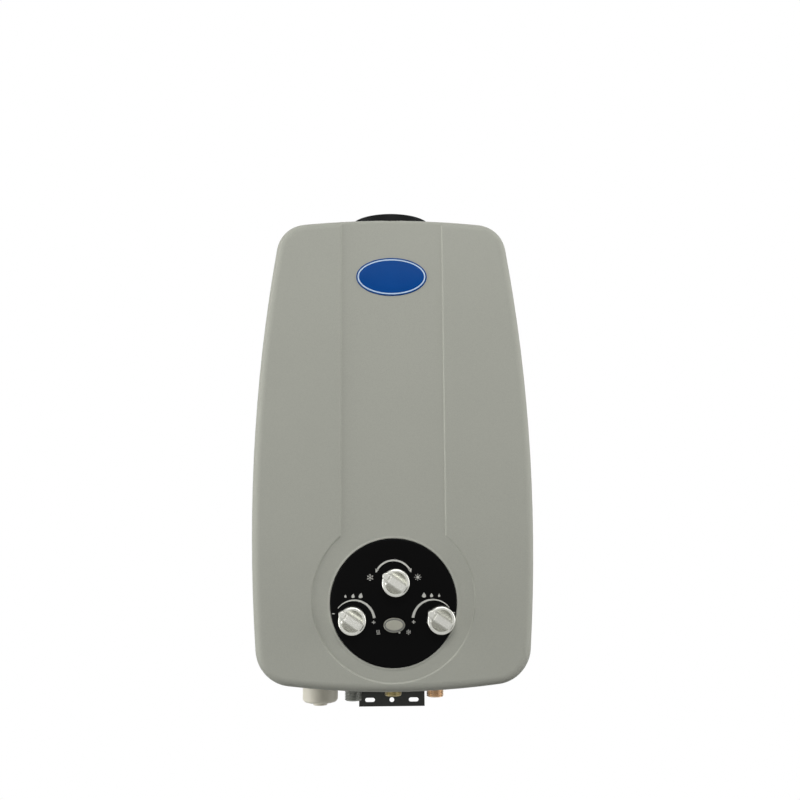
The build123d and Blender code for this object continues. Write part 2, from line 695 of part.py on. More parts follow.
def make_lower_bracket():
    """Joggled strap: its top lies on the back plate and its slotted foot on the wall."""
    top_z = COVER_BOTTOM_Z + BRACKET_TOP_RISE
    foot_z = COVER_BOTTOM_Z - BRACKET_DROP
    jog_z = COVER_BOTTOM_Z - PLATE_T
    section = Polygon(
        (-PLATE_T, top_z),
        (-PLATE_T, jog_z),
        (0, jog_z - BRACKET_JOG),
        (0, foot_z),
        (-BRACKET_T, foot_z),
        (-BRACKET_T, jog_z - BRACKET_JOG),
        (-PLATE_T - BRACKET_T, jog_z),
        (-PLATE_T - BRACKET_T, top_z),
        align=None,
    )
    strap = extrude(Plane.YZ * section, BRACKET_W / 2, both=True)
    front = Plane.XZ.offset(-CUT_PAST)
    for x in (-BRACKET_SLOT_SPACING / 2, BRACKET_SLOT_SPACING / 2):
        slot = Pos(x, BRACKET_SLOT_Z) * SlotOverall(BRACKET_SLOT_L, BRACKET_SLOT_W)
        strap -= extrude(front * slot, 2 * CUT_PAST)
    strap -= rod_y(0, BRACKET_SLOT_Z, -CUT_PAST, CUT_PAST, BRACKET_HOLE_R)
    for x in (-BRACKET_SCREW_X, BRACKET_SCREW_X):
        strap -= rod_y(x, FRAME_SCREW_Z, -CUT_PAST, CUT_PAST, SCREW_R + SLIP)
    return strap


def make_connection_shelf():
    """Plate that holds the pipe connections and the battery tube, on two tabs at the back plate."""
    rear_y = -PLATE_T - BRACKET_T - PLATE_GAP
    half_w = TAB_X + SHELF_TAB_W / 2 + SHELF_MARGIN
    plate = block(-half_w, half_w, -SHELF_DEPTH, rear_y, SHELF_Z, SHELF_TOP_Z)
    lobe_r = BATTERY_COLLAR_R + SHELF_LOBE_MARGIN
    plate += rod_z(BATTERY_X, BATTERY_Y, SHELF_Z, SHELF_TOP_Z, lobe_r)
    plate += block(BATTERY_X, BATTERY_X + lobe_r, BATTERY_Y - lobe_r, CONNECTION_Y, SHELF_Z, SHELF_TOP_Z)
    plate += block(BATTERY_X - lobe_r, BATTERY_X, CONNECTION_Y, BATTERY_Y, SHELF_Z, SHELF_TOP_Z)
    for x in (-TAB_X, TAB_X):
        half = SHELF_TAB_W / 2
        plate += block(x - half, x + half, rear_y, -PLATE_T, SHELF_Z, SHELF_TOP_Z)
        plate += block(x - half, x + half, -PLATE_T - BRACKET_T, -PLATE_T, SHELF_Z, SHELF_Z + SHELF_TAB_H)
        plate -= rod_y(x, FRAME_SCREW_Z, -CUT_PAST, CUT_PAST, SCREW_R + SLIP)
    for x in (HOT_X, GAS_X, COLD_X):
        plate -= rod_z(x, CONNECTION_Y, SHELF_Z - CUT_PAST, SHELF_TOP_Z + CUT_PAST, NECK_R + SEAT_GAP)
    tube_hole_r = BATTERY_TUBE_R + SEAT_GAP
    return plate - rod_z(BATTERY_X, BATTERY_Y, SHELF_Z - CUT_PAST, SHELF_TOP_Z + CUT_PAST, tube_hole_r)


def make_frame_screws():
    head_y = -PLATE_T - BRACKET_T
    return [screw_to_wall(x, z, head_y, -SEAT_GAP) for x, z in FRAME_SCREW_PLACES]


def make_cover_screws():
    """Pan-head screws through the side walls into the back plate's flange."""
    form = Pos(0, 0, SCREW_HEAD_H / 2) * Cylinder(SCREW_HEAD_R, SCREW_HEAD_H)
    form = chamfer(form.edges().group_by(Axis.Z)[-1], SCREW_HEAD_H / 2)
    shank = PLATE_INSET + PLATE_T + 2 * COVER_T
    form += Pos(0, 0, -shank / 2) * Cylinder(SCREW_R, shank)
    return [cover_screw_place(side) * form for side in (-1, 1)]


def make_standoff_brackets():
    """Two channels between the back plate and the chamber and burner frame."""
    channels = []
    for top_z in (CHAMBER_TOP_Z - FIN_H, CHAMBER_BOTTOM_Z - BURNER_FRAME_T):
        half = STANDOFF_W / 2
        low_z = top_z - STANDOFF_H
        channel = block(-half, half, CHAMBER_REAR_Y, -PLATE_T, low_z, top_z)
        web_y = CHAMBER_REAR_Y + STANDOFF_T
        channel -= block(-half, half, web_y, -PLATE_T + CUT_PAST, low_z + STANDOFF_T, top_z - STANDOFF_T)
        channels.append(channel)
    return channels


# Flue, hood and exchanger


def make_flue_spigot():
    """Round spigot, standing in the hood's collar on its bead."""
    top_z = COVER_TOP_Z + SPIGOT_RISE
    seat_z = COVER_TOP_Z - HOOD_COLLAR_DROP
    low_z = seat_z - SPIGOT_SEAT
    low_r = SPIGOT_R - SPIGOT_SWAGE
    tube = rod_z(0, FLUE_Y, seat_z, top_z, SPIGOT_R) - rod_z(0, FLUE_Y, seat_z, top_z, SPIGOT_R - SPIGOT_T)
    tube += rod_z(0, FLUE_Y, seat_z, seat_z + SPIGOT_BEAD_H, SPIGOT_R + SPIGOT_BEAD)
    tube += rod_z(0, FLUE_Y, low_z, seat_z, low_r)
    return tube - rod_z(0, FLUE_Y, low_z, seat_z + SPIGOT_BEAD_H, low_r - SPIGOT_T)


def hood_form(inset):
    """Rectangular skirt, four sloped sides and round collar of the hood, drawn in by inset."""
    collar_top_z = COVER_TOP_Z - HOOD_COLLAR_DROP
    collar_z = collar_top_z - HOOD_COLLAR_H
    collar_r = SPIGOT_R - SPIGOT_SWAGE + SEAT_GAP + HOOD_T - inset
    top_side = 2 * (collar_r + HOOD_LEDGE)
    base = Rectangle(CHAMBER_W - 2 * inset, CHAMBER_D - 2 * inset)
    skirt = extrude(Plane((0, FLUE_Y, CHAMBER_TOP_Z)) * base, HOOD_SKIRT_H)
    lower = Plane((0, FLUE_Y, CHAMBER_TOP_Z + HOOD_SKIRT_H)) * base
    upper = Plane((0, FLUE_Y, collar_z - inset)) * Rectangle(top_side, top_side)
    collar = rod_z(0, FLUE_Y, collar_z - inset, collar_top_z, collar_r)
    return skirt + loft([lower, upper], ruled=True) + collar


def make_draught_hood():
    """Sheet hood with relief openings low in its two sides."""
    hood = hood_form(0) - hood_form(HOOD_T)
    relief_z = CHAMBER_TOP_Z + (HOOD_SKIRT_H - HOOD_RELIEF_H) / 2
    half = HOOD_RELIEF_W / 2
    relief = block(-CHAMBER_W, CHAMBER_W, -half, half, relief_z, relief_z + HOOD_RELIEF_H)
    return hood - Pos(0, FLUE_Y, 0) * relief


def tube_places():
    return [FLUE_Y + (i - (TUBE_COUNT - 1) / 2) * TUBE_PITCH for i in range(TUBE_COUNT)]


def make_combustion_chamber():
    """Open copper box, bored for the exchanger tubes and the two electrodes."""
    base = Plane((0, FLUE_Y, CHAMBER_BOTTOM_Z))
    wall = extrude(base * RectangleRounded(CHAMBER_W, CHAMBER_D, CHAMBER_R), CHAMBER_H)
    inner = RectangleRounded(CHAMBER_W - 2 * CHAMBER_T, CHAMBER_D - 2 * CHAMBER_T, CHAMBER_R - CHAMBER_T)
    wall -= extrude(base * inner, CHAMBER_H)
    for y in tube_places():
        wall -= rod_x(y, TUBE_Z, -CHAMBER_W, CHAMBER_W, TUBE_R + SLIP)
    for x, z in (ELECTRODE_PLACE, SENSOR_PLACE):
        wall -= rod_y(x, z, CHAMBER_FRONT_Y - CUT_PAST, CHAMBER_FRONT_Y + CUT_PAST, CERAMIC_R + SLIP)
    return wall


def make_fin_pack():
    """Flat fins on the tubes, with six-sided holes whose flats lie just off the tubes."""
    depth = CHAMBER_D - 2 * CHAMBER_T - 2 * SEAT_GAP
    fin = Pos(FLUE_Y, TUBE_Z) * Rectangle(depth, FIN_H)
    hole_r = (TUBE_R + RUN_GAP) / cos(radians(180 / FIN_HOLE_SIDES))
    for y in tube_places():
        fin -= Pos(y, TUBE_Z) * RegularPolygon(hole_r, FIN_HOLE_SIDES)
    fins = []
    for i in range(FIN_COUNT):
        x = (i - (FIN_COUNT - 1) / 2) * FIN_PITCH - FIN_T / 2
        fins.append(extrude(Plane((x, 0, 0), x_dir=(0, 1, 0), z_dir=(1, 0, 0)) * fin, FIN_T))
    return fins


def make_exchanger_tubes():
    tubes = []
    for y in tube_places():
        tube = rod_x(y, TUBE_Z, -TUBE_END_X, TUBE_END_X, TUBE_R)
        tubes.append(tube - rod_x(y, TUBE_Z, -TUBE_END_X, TUBE_END_X, TUBE_BORE_R))
    return tubes


def make_return_bends():
    """Half-circle bends that join the tubes in turn, right, left, right."""
    bends = []
    places = tube_places()
    for i in range(TUBE_COUNT - 1):
        side = 1 if i % 2 == 0 else -1
        middle_y = (places[i] + places[i + 1]) / 2
        start = Plane((side * TUBE_END_X, places[i], TUBE_Z), z_dir=(1, 0, 0))
        axis = Axis((side * TUBE_END_X, middle_y, TUBE_Z), (0, 0, side))
        bends.append(revolve(start * Circle(TUBE_R), axis, 180))
    return bends


def make_inlet_pipe():
    """Copper pipe from the water valve, round the chamber's front, to the first tube."""
    right_x = CHAMBER_W / 2 + PIPE_R + PIPE_OFF
    left_x = -TUBE_END_X - RISER_OUT
    front_y = CHAMBER_FRONT_Y - PIPE_R - PIPE_OFF
    coil_z = (TUBE_Z + ELECTRODE_PLACE[1]) / 2
    start_z = VALVE_Z + WATER_OUT_RISE
    jog_z = start_z + UNION_H + PIPE_BEND_R / 2
    first_y = tube_places()[0]
    points = [
        (WATER_OUT_X, VALVE_Y, start_z),
        (WATER_OUT_X, VALVE_Y, jog_z),
        (right_x, VALVE_Y, jog_z + PIPE_JOG_RISE),
        (right_x, VALVE_Y, coil_z),
        (right_x, front_y, coil_z),
        (left_x, front_y, coil_z),
        (left_x, first_y, TUBE_Z),
        (-TUBE_END_X, first_y, TUBE_Z),
    ]
    return bent_bar(points, PIPE_BEND_R, PIPE_R)


def make_outlet_pipe():
    """Copper pipe from the last tube down the left side to the hot outlet."""
    last_y = tube_places()[-1]
    left_x = -TUBE_END_X - RISER_OUT
    end_z = SHELF_TOP_Z + SOCKET_TOP - SOCKET_DEPTH + SEAT_GAP
    turn_z = end_z + SOCKET_DEPTH + PIPE_BEND_R
    points = [
        (-TUBE_END_X, last_y, TUBE_Z),
        (left_x, last_y, TUBE_Z),
        (left_x, last_y, turn_z),
        (HOT_X, CONNECTION_Y, turn_z),
        (HOT_X, CONNECTION_Y, end_z),
    ]
    return bent_bar(points, PIPE_BEND_R, PIPE_R)


# Burner and manifold


def burner_places():
    return [(i - (BURNER_COUNT - 1) / 2) * BURNER_PITCH for i in range(BURNER_COUNT)]


def burner_bar(x):
    """One burner bar: round throat, thin neck and slotted head."""
    front_y = CHAMBER_FRONT_Y + BURNER_FRAME_T + SEAT_GAP
    rear_y = CHAMBER_REAR_Y - BURNER_FRAME_T - SEAT_GAP
    top_z = CHAMBER_BOTTOM_Z - SEAT_GAP
    head_z = top_z - BURNER_HEAD_H
    bar = rod_y(x, BURNER_AXIS_Z, MOUTH_Y, rear_y, BURNER_THROAT_R)
    bar += block(x - BURNER_NECK_W / 2, x + BURNER_NECK_W / 2, front_y, rear_y, BURNER_AXIS_Z, head_z)
    bar += block(x - BURNER_HEAD_W / 2, x + BURNER_HEAD_W / 2, front_y, rear_y, head_z, top_z)
    bar -= rod_y(x, BURNER_AXIS_Z, MOUTH_Y, MOUTH_Y + BURNER_MOUTH_DEPTH, BURNER_MOUTH_R)
    for i in range(BURNER_SLOTS):
        y = FLUE_Y + (i - (BURNER_SLOTS - 1) / 2) * BURNER_SLOT_PITCH
        half = BURNER_SLOT_W / 2
        slot = block(-BURNER_HEAD_W, BURNER_HEAD_W, -half, half, -BURNER_SLOT_DEPTH, 0)
        bar -= Pos(x, y, top_z) * slot
    return bar


def make_burner_bars():
    return [burner_bar(x) for x in burner_places()]


def make_burner_frame():
    """Sheet box under the chamber, bored at the front for the burner throats."""
    base = Plane((0, FLUE_Y, CHAMBER_BOTTOM_Z - BURNER_H))
    frame = extrude(base * RectangleRounded(CHAMBER_W, CHAMBER_D, CHAMBER_R), BURNER_H)
    inner_w = CHAMBER_W - 2 * BURNER_FRAME_T
    inner_d = CHAMBER_D - 2 * BURNER_FRAME_T
    frame -= extrude(base * RectangleRounded(inner_w, inner_d, CHAMBER_R - BURNER_FRAME_T), BURNER_H)
    for x in burner_places():
        hole_r = BURNER_THROAT_R + SEAT_GAP
        frame -= rod_y(x, BURNER_AXIS_Z, CHAMBER_FRONT_Y - CUT_PAST, CHAMBER_FRONT_Y + CUT_PAST, hole_r)
    return frame


def make_gas_manifold():
    """Cast bar in front of the burner throats, fed from the winter and summer valve."""
    section = Plane((-MANIFOLD_L / 2, MANIFOLD_Y, BURNER_AXIS_Z), x_dir=(0, 1, 0), z_dir=(1, 0, 0))
    bar = extrude(section * RectangleRounded(MANIFOLD_D, MANIFOLD_D, MANIFOLD_R), MANIFOLD_L)
    turn_z = BURNER_AXIS_Z - MANIFOLD_D / 2 - FEED_BEND_R - FEED_STUB
    points = [
        (TOP_KNOB_X, FEED_Y, TOP_VALVE_OUT_Z),
        (TOP_KNOB_X, FEED_Y, turn_z),
        (TOP_KNOB_X, MANIFOLD_Y, turn_z),
        (TOP_KNOB_X, MANIFOLD_Y, BURNER_AXIS_Z),
    ]
    return bar + bent_bar(points, FEED_BEND_R, FEED_R)


def make_injectors():
    """Brass injectors in a row, each facing its burner throat."""
    jets = []
    seat_y = MANIFOLD_Y + MANIFOLD_D / 2
    for x in burner_places():
        face = Plane((x, seat_y, BURNER_AXIS_Z), x_dir=(1, 0, 0), z_dir=(0, 1, 0))
        jet = extrude(face * RegularPolygon(INJECTOR_R, 6), INJECTOR_HEX_L)
        tip_y = seat_y + INJECTOR_HEX_L
        jets.append(jet + rod_y(x, BURNER_AXIS_Z, tip_y, tip_y + INJECTOR_TIP_L, INJECTOR_TIP_R))
    return jets


# Valves


def spindle_boss(x, z, rear_y):
    """Boss towards the panel, bored for a spindle."""
    boss = rod_y(x, z, SPINDLE_BOSS_Y, rear_y, SPINDLE_BOSS_R)
    depth = SPINDLE_IN_VALVE + MOVE_GAP
    return boss - rod_y(x, z, SPINDLE_BOSS_Y, SPINDLE_BOSS_Y + depth, SPINDLE_R + RUN_GAP)


def make_gas_valve():
    """Cast gas valve along the push-rod axis, its inlet below and its outlet pad on top."""
    body = rod_x(VALVE_Y, VALVE_Z, GAS_BODY_LEFT, GAS_BODY_RIGHT, GAS_BODY_R)
    body += rod_z(GAS_X, CONNECTION_Y, INLET_BOSS_Z, VALVE_Z, INLET_BOSS_R)
    body += rod_z(TOP_KNOB_X, VALVE_Y, VALVE_Z, GAS_PAD_Z, GAS_PAD_R)
    body += spindle_boss(*KNOB_PLACES["gas"], VALVE_Y)
    depth = ROD_IN_GAS + ROD_TRAVEL + MOVE_GAP
    mouth_x = GAS_BODY_RIGHT + CUT_PAST
    return body - rod_x(VALVE_Y, VALVE_Z, GAS_BODY_RIGHT - depth, mouth_x, ROD_R + RUN_GAP)


def make_season_valve():
    """Winter and summer selector between the gas valve and the manifold."""
    rear_y = SPINDLE_BOSS_Y + TOP_VALVE_L
    body = rod_y(TOP_KNOB_X, TOP_KNOB_Z, SPINDLE_BOSS_Y + SPINDLE_BOSS_R, rear_y, TOP_VALVE_R)
    body += rod_z(TOP_KNOB_X, VALVE_Y, GAS_PAD_Z, TOP_KNOB_Z, TOP_VALVE_NECK_R)
    body += rod_z(TOP_KNOB_X, FEED_Y, TOP_KNOB_Z, TOP_VALVE_OUT_Z, TOP_VALVE_NECK_R)
    return body + spindle_boss(*KNOB_PLACES["season"], SPINDLE_BOSS_Y + SPINDLE_BOSS_R)


def make_solenoid_valve():
    """Safety solenoid screwed into the left end of the gas valve."""
    end_x = GAS_BODY_LEFT - SOLENOID_L
    body = rod_x(VALVE_Y, VALVE_Z, end_x, GAS_BODY_LEFT, SOLENOID_R)
    return body + rod_x(VALVE_Y, VALVE_Z, end_x - SOLENOID_CAP_L, end_x, SOLENOID_CAP_R)


def diaphragm_screw_places():
    out = DIAPHRAGM_R - DIAPHRAGM_SCREW_EDGE
    turns = [radians((i + 0.5) * 360 / DIAPHRAGM_SCREWS) for i in range(DIAPHRAGM_SCREWS)]
    return [(VALVE_Y + out * cos(a), VALVE_Z + out * sin(a)) for a in turns]


def screw_holes(body, x0, x1):
    for y, z in diaphragm_screw_places():
        body -= rod_x(y, z, x0, x1, SCREW_R + SLIP)
    return body


def make_water_valve():
    """Water half of the diaphragm housing, its inlet below, outlet above and flow spindle in front."""
    flange_x = DIAPHRAGM_BODY_X + DIAPHRAGM_FLANGE_L
    body = rod_x(VALVE_Y, VALVE_Z, DIAPHRAGM_BODY_X, flange_x, DIAPHRAGM_R)
    body += rod_x(VALVE_Y, VALVE_Z, flange_x, flange_x + WATER_BODY_L, WATER_BODY_R)
    body += rod_z(COLD_X, CONNECTION_Y, INLET_BOSS_Z, VALVE_Z - WATER_BODY_R / 2, INLET_BOSS_R)
    body += rod_z(WATER_OUT_X, VALVE_Y, VALVE_Z, VALVE_Z + WATER_OUT_RISE, WATER_OUT_R)
    body += spindle_boss(*KNOB_PLACES["water"], VALVE_Y)
    return screw_holes(body, DIAPHRAGM_BODY_X, flange_x)


def make_diaphragm_cover():
    """Dry half of the diaphragm housing, hollow for the push rod's plate."""
    cover = rod_x(VALVE_Y, VALVE_Z, DIAPHRAGM_COVER_X, DIAPHRAGM_X, DIAPHRAGM_R)
    cavity_x = DIAPHRAGM_COVER_X + DIAPHRAGM_COVER_T
    cover -= rod_x(VALVE_Y, VALVE_Z, cavity_x, DIAPHRAGM_X, DIAPHRAGM_CAVITY_R)
    cover -= rod_x(VALVE_Y, VALVE_Z, DIAPHRAGM_COVER_X, cavity_x, ROD_R + RUN_GAP)
    return screw_holes(cover, DIAPHRAGM_COVER_X, DIAPHRAGM_X)


def make_diaphragm():
    disc = rod_x(VALVE_Y, VALVE_Z, DIAPHRAGM_X, DIAPHRAGM_BODY_X, DIAPHRAGM_R)
    return screw_holes(disc, DIAPHRAGM_X, DIAPHRAGM_BODY_X)


def make_diaphragm_screws():
    screws = []
    for y, z in diaphragm_screw_places():
        head = rod_x(y, z, DIAPHRAGM_COVER_X - SCREW_HEAD_H, DIAPHRAGM_COVER_X, SCREW_HEAD_R)
        shank_x = DIAPHRAGM_BODY_X + DIAPHRAGM_FLANGE_L - SEAT_GAP
        screws.append(head + rod_x(y, z, DIAPHRAGM_COVER_X, shank_x, SCREW_R))
    return screws


def make_push_rod():
    """Rod that the diaphragm pushes into the gas valve, with the collar that works the microswitch."""
    plate_x = DIAPHRAGM_X - MOVE_GAP
    rod = rod_x(VALVE_Y, VALVE_Z, GAS_BODY_RIGHT - ROD_IN_GAS, plate_x, ROD_R)
    rod += rod_x(VALVE_Y, VALVE_Z, plate_x - ROD_PLATE_T, plate_x, ROD_PLATE_R)
    return rod + rod_x(VALVE_Y, VALVE_Z, ROD_COLLAR_X, ROD_COLLAR_X + ROD_COLLAR_T, ROD_COLLAR_R)


def make_microswitch():
    """Switch on the diaphragm cover's face."""
    low_z = VALVE_Z + SWITCH_RISE
    half = SWITCH_D / 2
    body = block(SWITCH_X, DIAPHRAGM_COVER_X, VALVE_Y - half, VALVE_Y + half, low_z, low_z + SWITCH_H)
    hole_end = SWITCH_X + PLUNGER_IN + MOVE_GAP
    return body - rod_x(VALVE_Y, VALVE_Z + PLUNGER_RISE, SWITCH_X, hole_end, PLUNGER_R + RUN_GAP)


def make_switch_plunger():
    start_x = ROD_COLLAR_X + ROD_COLLAR_T
    return rod_x(VALVE_Y, VALVE_Z + PLUNGER_RISE, start_x, SWITCH_X + PLUNGER_IN, PLUNGER_R)


def make_union_nut():
    base_z = VALVE_Z + WATER_OUT_RISE
    nut = hex_z(WATER_OUT_X, VALVE_Y, base_z, base_z + UNION_H, UNION_R)
    return nut - rod_z(WATER_OUT_X, VALVE_Y, base_z, base_z + UNION_H, PIPE_R + SLIP)


# Connections below the casing


def fitting(x, bottom_z, top_z):
    """Male half-inch connection: bored thread below the shelf, neck through it and hexagon on top."""
    thread_top = SHELF_Z - NUT_H - NUT_GAP
    thread = rod_z(x, CONNECTION_Y, bottom_z, thread_top, THREAD_R)
    thread = chamfer(thread.edges().group_by(Axis.Z)[0], THREAD_CHAMFER)
    body = thread + rod_z(x, CONNECTION_Y, thread_top, SHELF_TOP_Z, NECK_R)
    body += hex_z(x, CONNECTION_Y, SHELF_TOP_Z, SHELF_TOP_Z + FITTING_HEX_H, FITTING_HEX_R)
    body += rod_z(x, CONNECTION_Y, SHELF_TOP_Z + FITTING_HEX_H, top_z, FITTING_TUBE_R)
    return body - rod_z(x, CONNECTION_Y, bottom_z - CUT_PAST, SHELF_TOP_Z, THREAD_BORE_R)


def make_hot_outlet():
    top_z = SHELF_TOP_Z + SOCKET_TOP
    body = fitting(HOT_X, COVER_BOTTOM_Z - HOT_DROP, top_z)
    return body - rod_z(HOT_X, CONNECTION_Y, SHELF_TOP_Z, top_z, PIPE_R + SLIP)


def make_gas_inlet():
    return fitting(GAS_X, COVER_BOTTOM_Z - GAS_DROP, INLET_BOSS_Z)


def make_cold_inlet():
    return fitting(COLD_X, COVER_BOTTOM_Z - COLD_DROP, INLET_BOSS_Z)


def make_lock_nuts():
    nuts = []
    for x in (HOT_X, GAS_X, COLD_X):
        nut = hex_z(x, CONNECTION_Y, SHELF_Z - NUT_H, SHELF_Z, NUT_R)
        nuts.append(nut - rod_z(x, CONNECTION_Y, SHELF_Z - NUT_H, SHELF_Z, NECK_R + SEAT_GAP))
    return nuts


# Ignition and safety

ELECTRODE_PLACE = (ELECTRODE_X, CHAMBER_BOTTOM_Z + ELECTRODE_RISE)
SENSOR_PLACE = (SENSOR_X, CHAMBER_BOTTOM_Z + SENSOR_RISE)
CERAMIC_END_Y = CHAMBER_FRONT_Y - CERAMIC_OUT


def electrode(place):
    """Ceramic insulator through the chamber wall, with its wire over the burner."""
    x, z = place
    plate_y = CHAMBER_FRONT_Y - ELECTRODE_PLATE_T
    body = rod_y(x, z, CERAMIC_END_Y, CHAMBER_FRONT_Y + CERAMIC_IN, CERAMIC_R)
    body += rod_y(x, z, plate_y - CERAMIC_COLLAR_T, plate_y, CERAMIC_COLLAR_R)
    tip_y = CHAMBER_FRONT_Y + CERAMIC_IN
    return body + rod_y(x, z, tip_y, tip_y + WIRE_L, WIRE_R)


def make_electrode_bracket():
    middle_x = (ELECTRODE_X + SENSOR_X) / 2
    half = ELECTRODE_PLATE_W / 2
    low_z = CHAMBER_BOTTOM_Z + ELECTRODE_PLATE_RISE
    plate_y = CHAMBER_FRONT_Y - ELECTRODE_PLATE_T
    plate = block(-half, half, plate_y, CHAMBER_FRONT_Y, low_z, low_z + ELECTRODE_PLATE_H)
    plate = Pos(middle_x, 0, 0) * plate
    for x, z in (ELECTRODE_PLACE, SENSOR_PLACE):
        plate -= rod_y(x, z, plate_y, CHAMBER_FRONT_Y, CERAMIC_R + SLIP)
    return plate


def make_ignition_module():
    """Grooved spark box on the back plate."""
    low_z = MODULE_Z - MODULE_H / 2
    left_x = MODULE_X - MODULE_W / 2
    right_x = left_x + MODULE_W
    front_y = -PLATE_T - MODULE_D
    box = block(left_x, right_x, front_y, -PLATE_T, low_z, low_z + MODULE_H)
    pitch = MODULE_H / (MODULE_GROOVES + 1)
    half = MODULE_GROOVE_W / 2
    for i in range(MODULE_GROOVES):
        z = low_z + (i + 1) * pitch
        box -= block(left_x, right_x, front_y, front_y + MODULE_GROOVE_DEPTH, z - half, z + half)
    return box


def lead(start_x, run_z, place):
    """Insulated lead from the module's top, along the right side, to a ceramic's outer end."""
    x, z = place
    start_y = -PLATE_T - MODULE_D / 2
    front_y = CERAMIC_END_Y - LEAD_RUN_OUT
    points = [
        (start_x, start_y, MODULE_Z + MODULE_H / 2),
        (start_x, start_y, run_z),
        (start_x, front_y, run_z),
        (x, front_y, z),
        (x, CERAMIC_END_Y, z),
    ]
    return bent_bar(points, [LEAD_BEND_R, LEAD_BEND_R, LEAD_END_BEND_R], LEAD_R)


def make_ignition_lead():
    return lead(MODULE_X + LEAD_SIDE, ELECTRODE_PLACE[1] + LEAD_RISE / 2, ELECTRODE_PLACE)


def make_sensor_lead():
    return lead(MODULE_X + LEAD_SIDE + LEAD_SPREAD, SENSOR_PLACE[1] - LEAD_RISE / 2, SENSOR_PLACE)


def make_overheat_cutout():
    """Disc thermostat on the chamber's left wall."""
    z = CHAMBER_BOTTOM_Z + CUTOUT_RISE
    wall_x = -CHAMBER_W / 2
    disc = rod_x(FLUE_Y, z, wall_x - CUTOUT_T, wall_x, CUTOUT_R)
    root_x = wall_x - CUTOUT_T
    for y in (FLUE_Y - CUTOUT_R / 2, FLUE_Y + CUTOUT_R / 2):
        blade = block(-BLADE_L, 0, -BLADE_T / 2, BLADE_T / 2, -BLADE_W / 2, BLADE_W / 2)
        disc += Pos(root_x, y, z) * blade
    return disc


# Battery

BATTERY_BOTTOM_Z = BATTERY_TUBE_Z + BATTERY_LUG_RISE
BATTERY_TOP_Z = BATTERY_BOTTOM_Z + BATTERY_L + BATTERY_NUB_H
BATTERY_TUBE_TOP_Z = BATTERY_TOP_Z + CONTACT_T + SEAT_GAP + BATTERY_TUBE_TOP_T
CAP_TOP_Z = CAP_BOTTOM_Z + CAP_H
LUG_Z = BATTERY_TUBE_Z + BATTERY_LUG_RISE


def make_battery_tube():
    """Plastic tube through the shelf, closed on top, with two bayonet lugs at its mouth."""
    tube = rod_z(BATTERY_X, BATTERY_Y, BATTERY_TUBE_Z, BATTERY_TUBE_TOP_Z, BATTERY_TUBE_R)
    tube += rod_z(BATTERY_X, BATTERY_Y, SHELF_TOP_Z, SHELF_TOP_Z + BATTERY_COLLAR_T, BATTERY_COLLAR_R)
    lugs = block(-LUG_R, LUG_R, -BATTERY_LUG_W / 2, BATTERY_LUG_W / 2, LUG_Z, LUG_Z + BATTERY_LUG_T)
    lugs &= rod_z(0, 0, LUG_Z, LUG_Z + BATTERY_LUG_T, LUG_R)
    tube += Pos(BATTERY_X, BATTERY_Y, 0) * lugs
    bore_top_z = BATTERY_TUBE_TOP_Z - BATTERY_TUBE_TOP_T
    return tube - rod_z(BATTERY_X, BATTERY_Y, BATTERY_TUBE_Z, bore_top_z, BATTERY_TUBE_BORE_R)


def make_battery():
    shoulder_z = BATTERY_BOTTOM_Z + BATTERY_L
    cell = rod_z(BATTERY_X, BATTERY_Y, BATTERY_BOTTOM_Z, shoulder_z, BATTERY_R)
    return cell + rod_z(BATTERY_X, BATTERY_Y, shoulder_z, BATTERY_TOP_Z, BATTERY_NUB_R)


def make_battery_contact():
    top_z = BATTERY_TUBE_TOP_Z - BATTERY_TUBE_TOP_T
    return rod_z(BATTERY_X, BATTERY_Y, top_z - CONTACT_T, top_z, CONTACT_R)


def make_battery_cap():
    """White quarter-turn cap over the tube's mouth, with a coin-slotted boss below."""
    cap = rod_z(BATTERY_X, BATTERY_Y, CAP_BOTTOM_Z, CAP_TOP_Z, CAP_R)
    cap = fillet(cap.edges().group_by(Axis.Z)[0], CAP_EDGE_R)
    cap += rod_z(BATTERY_X, BATTERY_Y, CAP_BOTTOM_Z - CAP_BOSS_H, CAP_BOTTOM_Z + CAP_T, CAP_BOSS_R)
    cap -= rod_z(BATTERY_X, BATTERY_Y, CAP_BOTTOM_Z + CAP_T, CAP_TOP_Z, BATTERY_TUBE_R + CAP_GAP)
    groove_r = LUG_R + CAP_GAP
    groove_z = LUG_Z - MOVE_GAP
    cap -= rod_z(BATTERY_X, BATTERY_Y, groove_z, LUG_Z + BATTERY_LUG_T + MOVE_GAP, groove_r)
    entry = BATTERY_LUG_W / 2 + 2 * MOVE_GAP
    notch = block(-entry, entry, -groove_r, groove_r, groove_z, CAP_TOP_Z)
    notch &= rod_z(0, 0, groove_z, CAP_TOP_Z, groove_r)
    cap -= Pos(BATTERY_X, BATTERY_Y, 0) * notch
    half = CAP_COIN_W / 2
    boss_z = CAP_BOTTOM_Z - CAP_BOSS_H
    coin = block(-CAP_R, CAP_R, -half, half, boss_z, boss_z + CAP_COIN_DEPTH)
    return cap - Pos(BATTERY_X, BATTERY_Y, 0) * coin


def make_cap_contact():
    """Arched spring strip on the cap's floor, under the cell."""
    floor_z = CAP_BOTTOM_Z + CAP_T
    top_z = BATTERY_BOTTOM_Z - MOVE_GAP
    half = CAP_LEAF_HALF
    inner_half = half - CONTACT_T
    edges = [
        ThreePointArc((-half, floor_z), (0, top_z), (half, floor_z)),
        Line((half, floor_z), (inner_half, floor_z)),
        ThreePointArc((inner_half, floor_z), (0, top_z - CONTACT_T), (-inner_half, floor_z)),
        Line((-inner_half, floor_z), (-half, floor_z)),
    ]
    arch = Plane.XZ.offset(-BATTERY_Y) * Pos(BATTERY_X, 0) * make_face(edges)
    return extrude(arch, CONTACT_W / 2, both=True)


